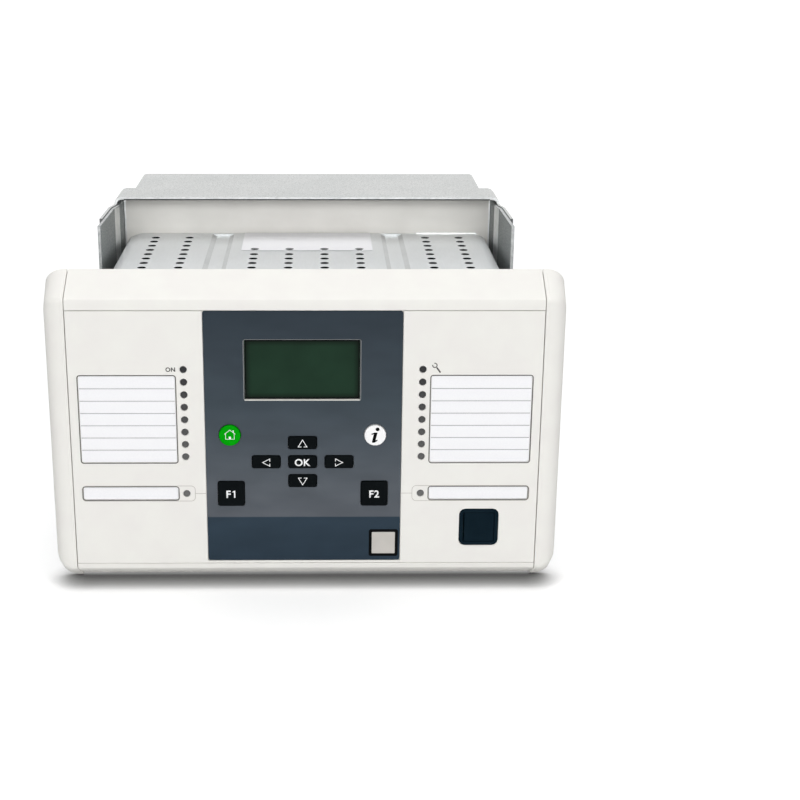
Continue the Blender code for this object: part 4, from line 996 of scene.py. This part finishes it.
def make_threaded_stud():
    """The earth stud with its thread and a chamfered nut."""
    low, high = low_high("earth_stud")
    middle = Vector(((low.x + high.x) / 2, 0.0, (low.z + high.z) / 2))
    across = (high.x - low.x) / 2
    wall_back = low_high("rear_bulkhead")[1].y + NUT_GAP
    profile = [(STUD_RADIUS - STUD_CHAMFER, low.y), (STUD_RADIUS, low.y + STUD_CHAMFER)]
    place = wall_back + NUT_HEIGHT + THREAD_PITCH / 2
    profile.append((STUD_RADIUS, place))
    while place < high.y - STUD_TIP_LENGTH:
        profile += [(THREAD_ROOT, place + THREAD_PITCH / 2), (STUD_RADIUS, place + THREAD_PITCH)]
        place += THREAD_PITCH
    profile.append((STUD_TIP, high.y))
    bm = bmesh.new()
    lathed(bm, middle, (0.0, 1.0, 0.0), profile, 24)
    nut = [(NUT_END, 0.0), (1.0, NUT_CHAMFER), (1.0, NUT_HEIGHT - NUT_CHAMFER), (NUT_END, NUT_HEIGHT)]
    lathed(bm, middle, (0.0, 1.0, 0.0), [(across * share, wall_back + y) for share, y in nut], 6)
    to_metres(bm)
    return stand_in("earth_stud", bm, bevel=0.05, segments=1, angle=65.0)


# Marks on the keys


def make_text(name, words, centre, height, face_y, material_name, body=BODY, weight=0.0):
    """Flat letters of that height, centred on a point of a face."""
    curve = bpy.data.curves.new(name, "FONT")
    curve.body = words
    curve.offset = weight
    curve.space_character = WORD_SPACE
    draft = in_scene(f"{name}_draft", curve)
    flat = evaluated_mesh(draft)
    bpy.data.objects.remove(draft)
    bm = bmesh.new()
    bm.from_mesh(flat)
    bpy.data.meshes.remove(flat)
    across = [v.co.x for v in bm.verts]
    up = [v.co.y for v in bm.verts]
    scale = height / (max(up) - min(up))
    middle = ((max(across) + min(across)) / 2, (max(up) + min(up)) / 2)
    for vert in bm.verts:
        x, z = (vert.co.x - middle[0]) * scale, (vert.co.y - middle[1]) * scale
        vert.co = (centre[0] + x, printed_y(face_y) + PRINT, centre[1] + z)
    made = bmesh.ops.extrude_face_region(bm, geom=list(bm.faces))
    fronts = [v for v in made["geom"] if isinstance(v, bmesh.types.BMVert)]
    bmesh.ops.translate(bm, verts=fronts, vec=(0.0, -PRINT, 0.0))
    return mesh_object(name, bm, material_name, body)


def make_arrow_marks():
    """Triangles in outline that point away from the OK key, each with a gap across from its tip."""
    for word, turn in (("right", 0), ("up", 90), ("left", 180), ("down", 270)):
        node = f"key_{word}"
        centre, face_y = face_of(node)
        tip = math.radians(turn)
        along, across = ARROW_SIDE if turn % 180 == 0 else ARROW_UP
        ends = [(-along / 2, ARROW_GAP / 2), (-along / 2, across / 2), (along / 2, 0.0)]
        ends += [(-along / 2, -across / 2), (-along / 2, -ARROW_GAP / 2)]
        cos, sin = math.cos(tip), math.sin(tip)
        turned = [(x * cos - z * sin, x * sin + z * cos) for x, z in ends]
        bm = bmesh.new()
        add_line(bm, shifted(turned, centre), MARK_LINE, printed_y(face_y), PRINT)
        mesh_object(f"{node}_mark", bm, "white_print", node)


def make_house_mark():
    """A house in outline with a chimney and a filled door."""
    middle, face_y = face_of("key_home")
    centre = shifted([middle], HOUSE_PLACE)[0]
    front = printed_y(face_y)
    half, base, eaves, ridge = 2.4, -2.5, 0.9, 2.9
    walls = [(-half, base), (half, base), (half, eaves), (0.0, ridge), (-half, eaves)]
    slope = (ridge - eaves) / half
    bm = bmesh.new()
    add_ring(bm, shifted(walls, centre), HOUSE_LINE, front, PRINT)
    for side in (-1, 1):
        roof = [(side * (half + reach), eaves - reach * slope) for reach in (ROOF_GAP, ROOF_REACH)]
        drop = [(x, z - HOUSE_LINE) for x, z in reversed(roof)]
        add_plate(bm, shifted(roof + drop, centre), front, PRINT)
    left, right, top = HOUSE_CHIMNEY
    chimney = [(x, eaves + (half - x) * slope + 0.05) for x in (left, right)]
    add_plate(bm, shifted(chimney + [(right, top), (left, top)], centre), front, PRINT)
    add_plate(bm, shifted(rounded(*HOUSE_DOOR, 0.1, 2), centre), front, PRINT)
    mesh_object("key_home_mark", bm, "white_print", "key_home")


def make_info_mark():
    """A slanting letter i: a round dot over a stem with a small serif and foot."""
    centre, face_y = face_of("key_info")
    front = printed_y(face_y)
    points = [(x * INFO_SCALE, z * INFO_SCALE) for x, z in INFO_STEM + [INFO_DOT]]
    *stem, dot = shifted(points, centre)
    bm = bmesh.new()
    add_plate(bm, stem, front, PRINT)
    add_plate(bm, circle(dot, INFO_DOT_RADIUS), front, PRINT)
    mesh_object("key_info_mark", bm, "black_print", "key_info")


def make_key_words():
    for node, words, height, aside in KEY_WORDS:
        (x, z), face_y = face_of(node)
        make_text(f"{node}_mark", words, (x + aside, z), height, face_y, "white_print", node, BOLD)
    centre, face_y = face_of("key_f1")
    bm = bmesh.new()
    add_plate(bm, shifted(DIGIT_ONE, centre), printed_y(face_y), PRINT)
    mesh_object("key_f1_digit", bm, "white_print", "key_f1")


# Marks on the fascia and the display


def make_label_lines(word):
    """The outline round each label window and the lines between its rows."""
    bm = bmesh.new()
    for card in ("label_card", "function_card"):
        low, high = low_high(f"{card}_{word}")
        reach = WINDOW_GAP + WINDOW_LINE
        corners = ((low.x - reach, low.z - reach), (high.x + reach, high.z + reach))
        add_ring(bm, rounded(*corners, WINDOW_CORNER), WINDOW_LINE, printed_y(FACE_Y), PRINT)
    low, high = low_high(f"label_card_{word}")
    rows = bmesh.new()
    for row in range(1, LABEL_ROWS):
        z = low.z + (high.z - low.z) * row / LABEL_ROWS
        ends = [(low.x + WINDOW_GAP, z), (high.x - WINDOW_GAP, z)]
        add_line(rows, ends, ROW_LINE, printed_y(low.y), PRINT)
    mesh_object(f"label_lines_{word}", bm, "dark_print")
    mesh_object(f"label_rows_{word}", rows, "row_print")


def make_function_frame(side, word):
    """The faint frame round a function label and its lamp, and its line to the display panel."""
    front = printed_y(FACE_Y)
    low, high = low_high(f"function_card_{word}")
    outer = max(abs(low.x), abs(high.x))
    near = face_of("display_panel")[0][0] + side * FUNCTION_FRAME_REACH
    left, right = sorted((near, side * (outer + FRAME_REACH)))
    corners = ((left, low.z - FRAME_REACH), (right, high.z + FRAME_REACH))
    bm = bmesh.new()
    add_ring(bm, rounded(*corners, FUNCTION_FRAME_CORNER), FAINT_LINE, front, PRINT)
    panel_low, panel_high = low_high("display_panel")
    panel_side = (panel_high if side > 0 else panel_low).x + side * WINDOW_LINE
    ends = [(x, (low.z + high.z) / 2) for x in sorted((panel_side, near))]
    add_line(bm, ends, FAINT_LINE, front, PRINT)
    mesh_object(f"function_frame_{word}", bm, "faint_print")


def make_service_mark():
    """A small spanner beside the upper right lamp."""
    front = printed_y(FACE_Y)
    bm = bmesh.new()
    add_line(bm, arc(SPANNER_JAW, SPANNER_RADIUS, 165, 465, 14), 0.5, front, PRINT)
    add_line(bm, shifted(SPANNER_HANDLE, SPANNER_JAW), 0.8, front, PRINT)
    mesh_object("service_mark", bm, "dark_print")


def make_display_rim():
    """The pale bevel round the display, a painted highlight along its lower side, and the black border
    inside it.
    """
    low, high = low_high("lcd_window")
    panel_face = low_high("display_panel")[0].y

    def grown(reach, corner):
        return rounded((low.x - reach, low.z - reach), (high.x + reach, high.z + reach), corner)

    outer = grown(RIM_GAP + RIM_WIDTH, RIM_CORNER)
    inner = grown(RIM_GAP, BORDER_CORNER)
    loops = [
        (outer, -RIM_LIFT),
        (inset(outer, RIM_LIP), -RIM_LIFT),
        (inner, RIM_DEPTH - RIM_SKIN),
        (inner, RIM_DEPTH),
        (outer, RIM_SKIN - RIM_LIFT),
    ]
    bm = bmesh.new()
    add_loops(bm, [[(x, panel_face + y, z) for x, z in line] for line, y in loops], closed=True)
    mesh_object("display_rim", bm, "grey_rim")
    # painted highlight on the rim's lower side, which faces up
    bm = bmesh.new()
    highlight_z = low.z - RIM_GAP - RIM_WIDTH + RIM_HIGHLIGHT_RISE
    ends = [(low.x - RIM_GAP, highlight_z), (high.x + RIM_GAP, highlight_z)]
    add_line(bm, ends, RIM_HIGHLIGHT_WIDTH, printed_y(panel_face), PRINT)
    mesh_object("display_rim_highlight", bm, "rim_painted_highlight")
    bm = bmesh.new()
    add_ring(bm, grown(0.0, BORDER_CORNER), BORDER_WIDTH, printed_y(low.y), PRINT)
    mesh_object("display_border", bm, "black_print")


def make_bare_square():
    """A bare dark square with a pale field, low on the display panel."""
    x, z = BARE_SQUARE
    front = low_high("display_panel")[0].y
    for name, half, corner, finish in BARE_SQUARES:
        front = printed_y(front)
        bm = bmesh.new()
        add_plate(bm, rounded((x - half, z - half), (x + half, z + half), corner), front, PRINT)
        mesh_object(name, bm, finish)


# Small parts at the rear and in the port


def make_socket_contacts():
    """Eight gold contacts in the data socket."""
    (x, z), face_y = face_of("port_socket")
    top = z + SOCKET_HALF_HEIGHT - CONTACT_TOP_GAP
    bm = bmesh.new()
    for k in range(CONTACTS):
        left = x + (k - (CONTACTS - 1) / 2) * CONTACT_PITCH - CONTACT_WIDTH / 2
        corners = rectangle((left, left + CONTACT_WIDTH), (top - CONTACT_HEIGHT, top))
        add_plate(bm, corners, face_y + CONTACT_START, CONTACT_LENGTH)
    mesh_object("socket_contacts", bm, "gold")


def make_terminal_screws(number):
    """A clamping screw beside each wire opening, and the clamp inside it."""
    low, high = low_high(f"terminal_block_{number}")
    centre, middle_z = (low.x + high.x) / 2, (low.z + high.z) / 2
    pitch = (high.z - low.z - 2 * BLOCK_STEP) / WIRE_HOLES
    slope_width = high.x - centre - BLOCK_NECK_HALF
    out = Vector((BLOCK_SLOPE, slope_width, 0.0)).normalized()
    half = WIRE_HOLE / 2 - CLAMP_GAP
    screws, clamps = bmesh.new(), bmesh.new()
    for k in range(WIRE_HOLES):
        z = middle_z + (k - (WIRE_HOLES - 1) / 2) * pitch
        middle = Vector((high.x - slope_width / 2, high.y - BLOCK_SLOPE / 2, z))
        lathed(screws, middle, out, BLOCK_SCREW, 20)
        corners = rectangle((centre - half, centre + half), (z - half, z + half))
        add_plate(clamps, corners, high.y - CLAMP_DEPTH, CLAMP_THICKNESS)
    for name, bm in (("screws", screws), ("clamps", clamps)):
        mesh_object(f"terminal_{name}_{number}", bm, "bright_metal")


def finish_all_nodes():
    """Every CAD node gets its own procedural finish."""
    for name, obj in frame["nodes"].items():
        paint(obj, finish_of(name))


# Stage


def make_lamps():
    """Two very soft lamps: one overhead and one in front."""
    for name, strength, way, softness in LAMPS:
        light = bpy.data.lights.new(name, "SUN")
        light.energy = strength
        light.angle = math.radians(softness)
        in_scene(name, light).rotation_euler = Vector(way).to_track_quat("-Z", "Y").to_euler()


def make_camera():
    data = bpy.data.cameras.new("camera")
    data.lens = CAMERA_LENS
    data.sensor_width = 36.0
    data.shift_x = CAMERA_SHIFT
    obj = in_scene("camera", data)
    obj.location = CAMERA_PLACE
    obj.rotation_euler = [math.radians(turn) for turn in CAMERA_TURNS]
    bpy.context.scene.camera = obj


def seen_directly(tree):
    """1 for camera, glossy and transmission rays, 0 for the rays that light the object."""
    path = tree.nodes.new("ShaderNodeLightPath").outputs
    reflected = calculated(tree, "MAXIMUM", path["Is Camera Ray"], path["Is Glossy Ray"])
    return calculated(tree, "MAXIMUM", reflected, path["Is Transmission Ray"])


def make_world():
    """White where it is seen. Its light is weak at the left and the right."""
    world = bpy.data.worlds.new("studio")
    bpy.context.scene.world = world
    world.use_nodes = True
    tree = world.node_tree
    way = tree.nodes.new("ShaderNodeSeparateXYZ")
    tree.links.new(tree.nodes.new("ShaderNodeTexCoord").outputs["Generated"], way.inputs["Vector"])
    sideness = calculated(tree, "ABSOLUTE", way.outputs["X"])
    light = remapped(tree, sideness, (0.0, 1.0), (WORLD_LIGHT, WORLD_LIGHT * WORLD_SIDES))
    background = tree.nodes["Background"].inputs
    background["Color"].default_value = srgb(*WHITE)
    feed(tree, background["Strength"], remapped(tree, seen_directly(tree), (0.0, 1.0), (light, 1.0)))


def make_floor():
    """A plain pale floor that keeps the object's shadow, with a painted contact shadow next to the object
    where it is seen.
    """
    bm = bmesh.new()
    bmesh.ops.create_grid(bm, x_segments=1, y_segments=1, size=FLOOR_HALF)
    floor = object_from("floor", bm)
    material = bpy.data.materials.new("floor")
    material.use_nodes = True
    tree = material.node_tree
    # where the floor is seen, ambient occlusion darkens its colour and its lift next to the object: a
    # painted contact shadow
    contact = tree.nodes.new("ShaderNodeAmbientOcclusion")
    contact.samples = 16
    contact.inputs["Distance"].default_value = SHADOW_REACH
    clear = calculated(tree, "POWER", contact.outputs["AO"], SHADOW_DEPTH)
    seen = seen_directly(tree)
    shade = remapped(tree, seen, (0.0, 1.0), (1.0, clear))
    lift = calculated(tree, "MULTIPLY", seen, calculated(tree, "MULTIPLY", clear, FLOOR_LIFT))
    shader = tree.nodes["Principled BSDF"].inputs
    feed(tree, shader["Base Color"], mixed(tree, "MIX", shade, srgb(0, 0, 0), FLOOR_COLOUR))
    feed(tree, shader["Emission Strength"], lift)
    shader["Emission Color"].default_value = srgb(*WHITE)
    shader["Roughness"].default_value = 1.0
    shader["Specular IOR Level"].default_value = 0.0
    floor.data.materials.append(material)


def make_stage():
    make_camera()
    make_world()
    make_floor()
    make_lamps()
    bpy.context.scene.view_settings.view_transform = "Standard"


DRESSED = {
    "front_frame": 0.3,
    "fascia": 0.2,
    "display_panel": 0.12,
    "port_frame": 0.12,
    "port_flap": 0.12,
    "rear_bulkhead": 0.3,
}

finish_all_nodes()
for dressed_node, width in DRESSED.items():
    dress(dressed_node, width)
make_bracket()
make_hood_shadow_and_edge_highlight()
for holed_node, hole_radius, hole_edge in ROUND_HOLES:
    make_round_holes(holed_node, hole_radius, hole_edge)
make_case_edge_highlight()
for cap_side, cap_word in SIDES:
    make_smooth_cap(cap_side, f"end_cap_{cap_word}")
    make_arm(f"arm_{cap_word}")
    for screw_word in ("lower", "upper"):
        make_screw(f"bracket_screw_{cap_word}_{screw_word}")
make_threaded_stud()
for key_body in frame["bodies"]:
    if key_body.startswith("key_"):
        dress(key_body, 0.12, 1)
for block in range(1, BLOCKS + 1):
    dress(f"terminal_block_{block}", 0.3)
    make_terminal_screws(block)
make_arrow_marks()
make_house_mark()
make_info_mark()
make_key_words()
for label_side, label_word in SIDES:
    make_label_lines(label_word)
    make_function_frame(label_side, label_word)
make_text("on_mark", "ON", ON_PLACE, ON_HEIGHT, FACE_Y, "sign_print", BODY, BOLD)
make_service_mark()
make_display_rim()
make_bare_square()
make_socket_contacts()
make_stage()
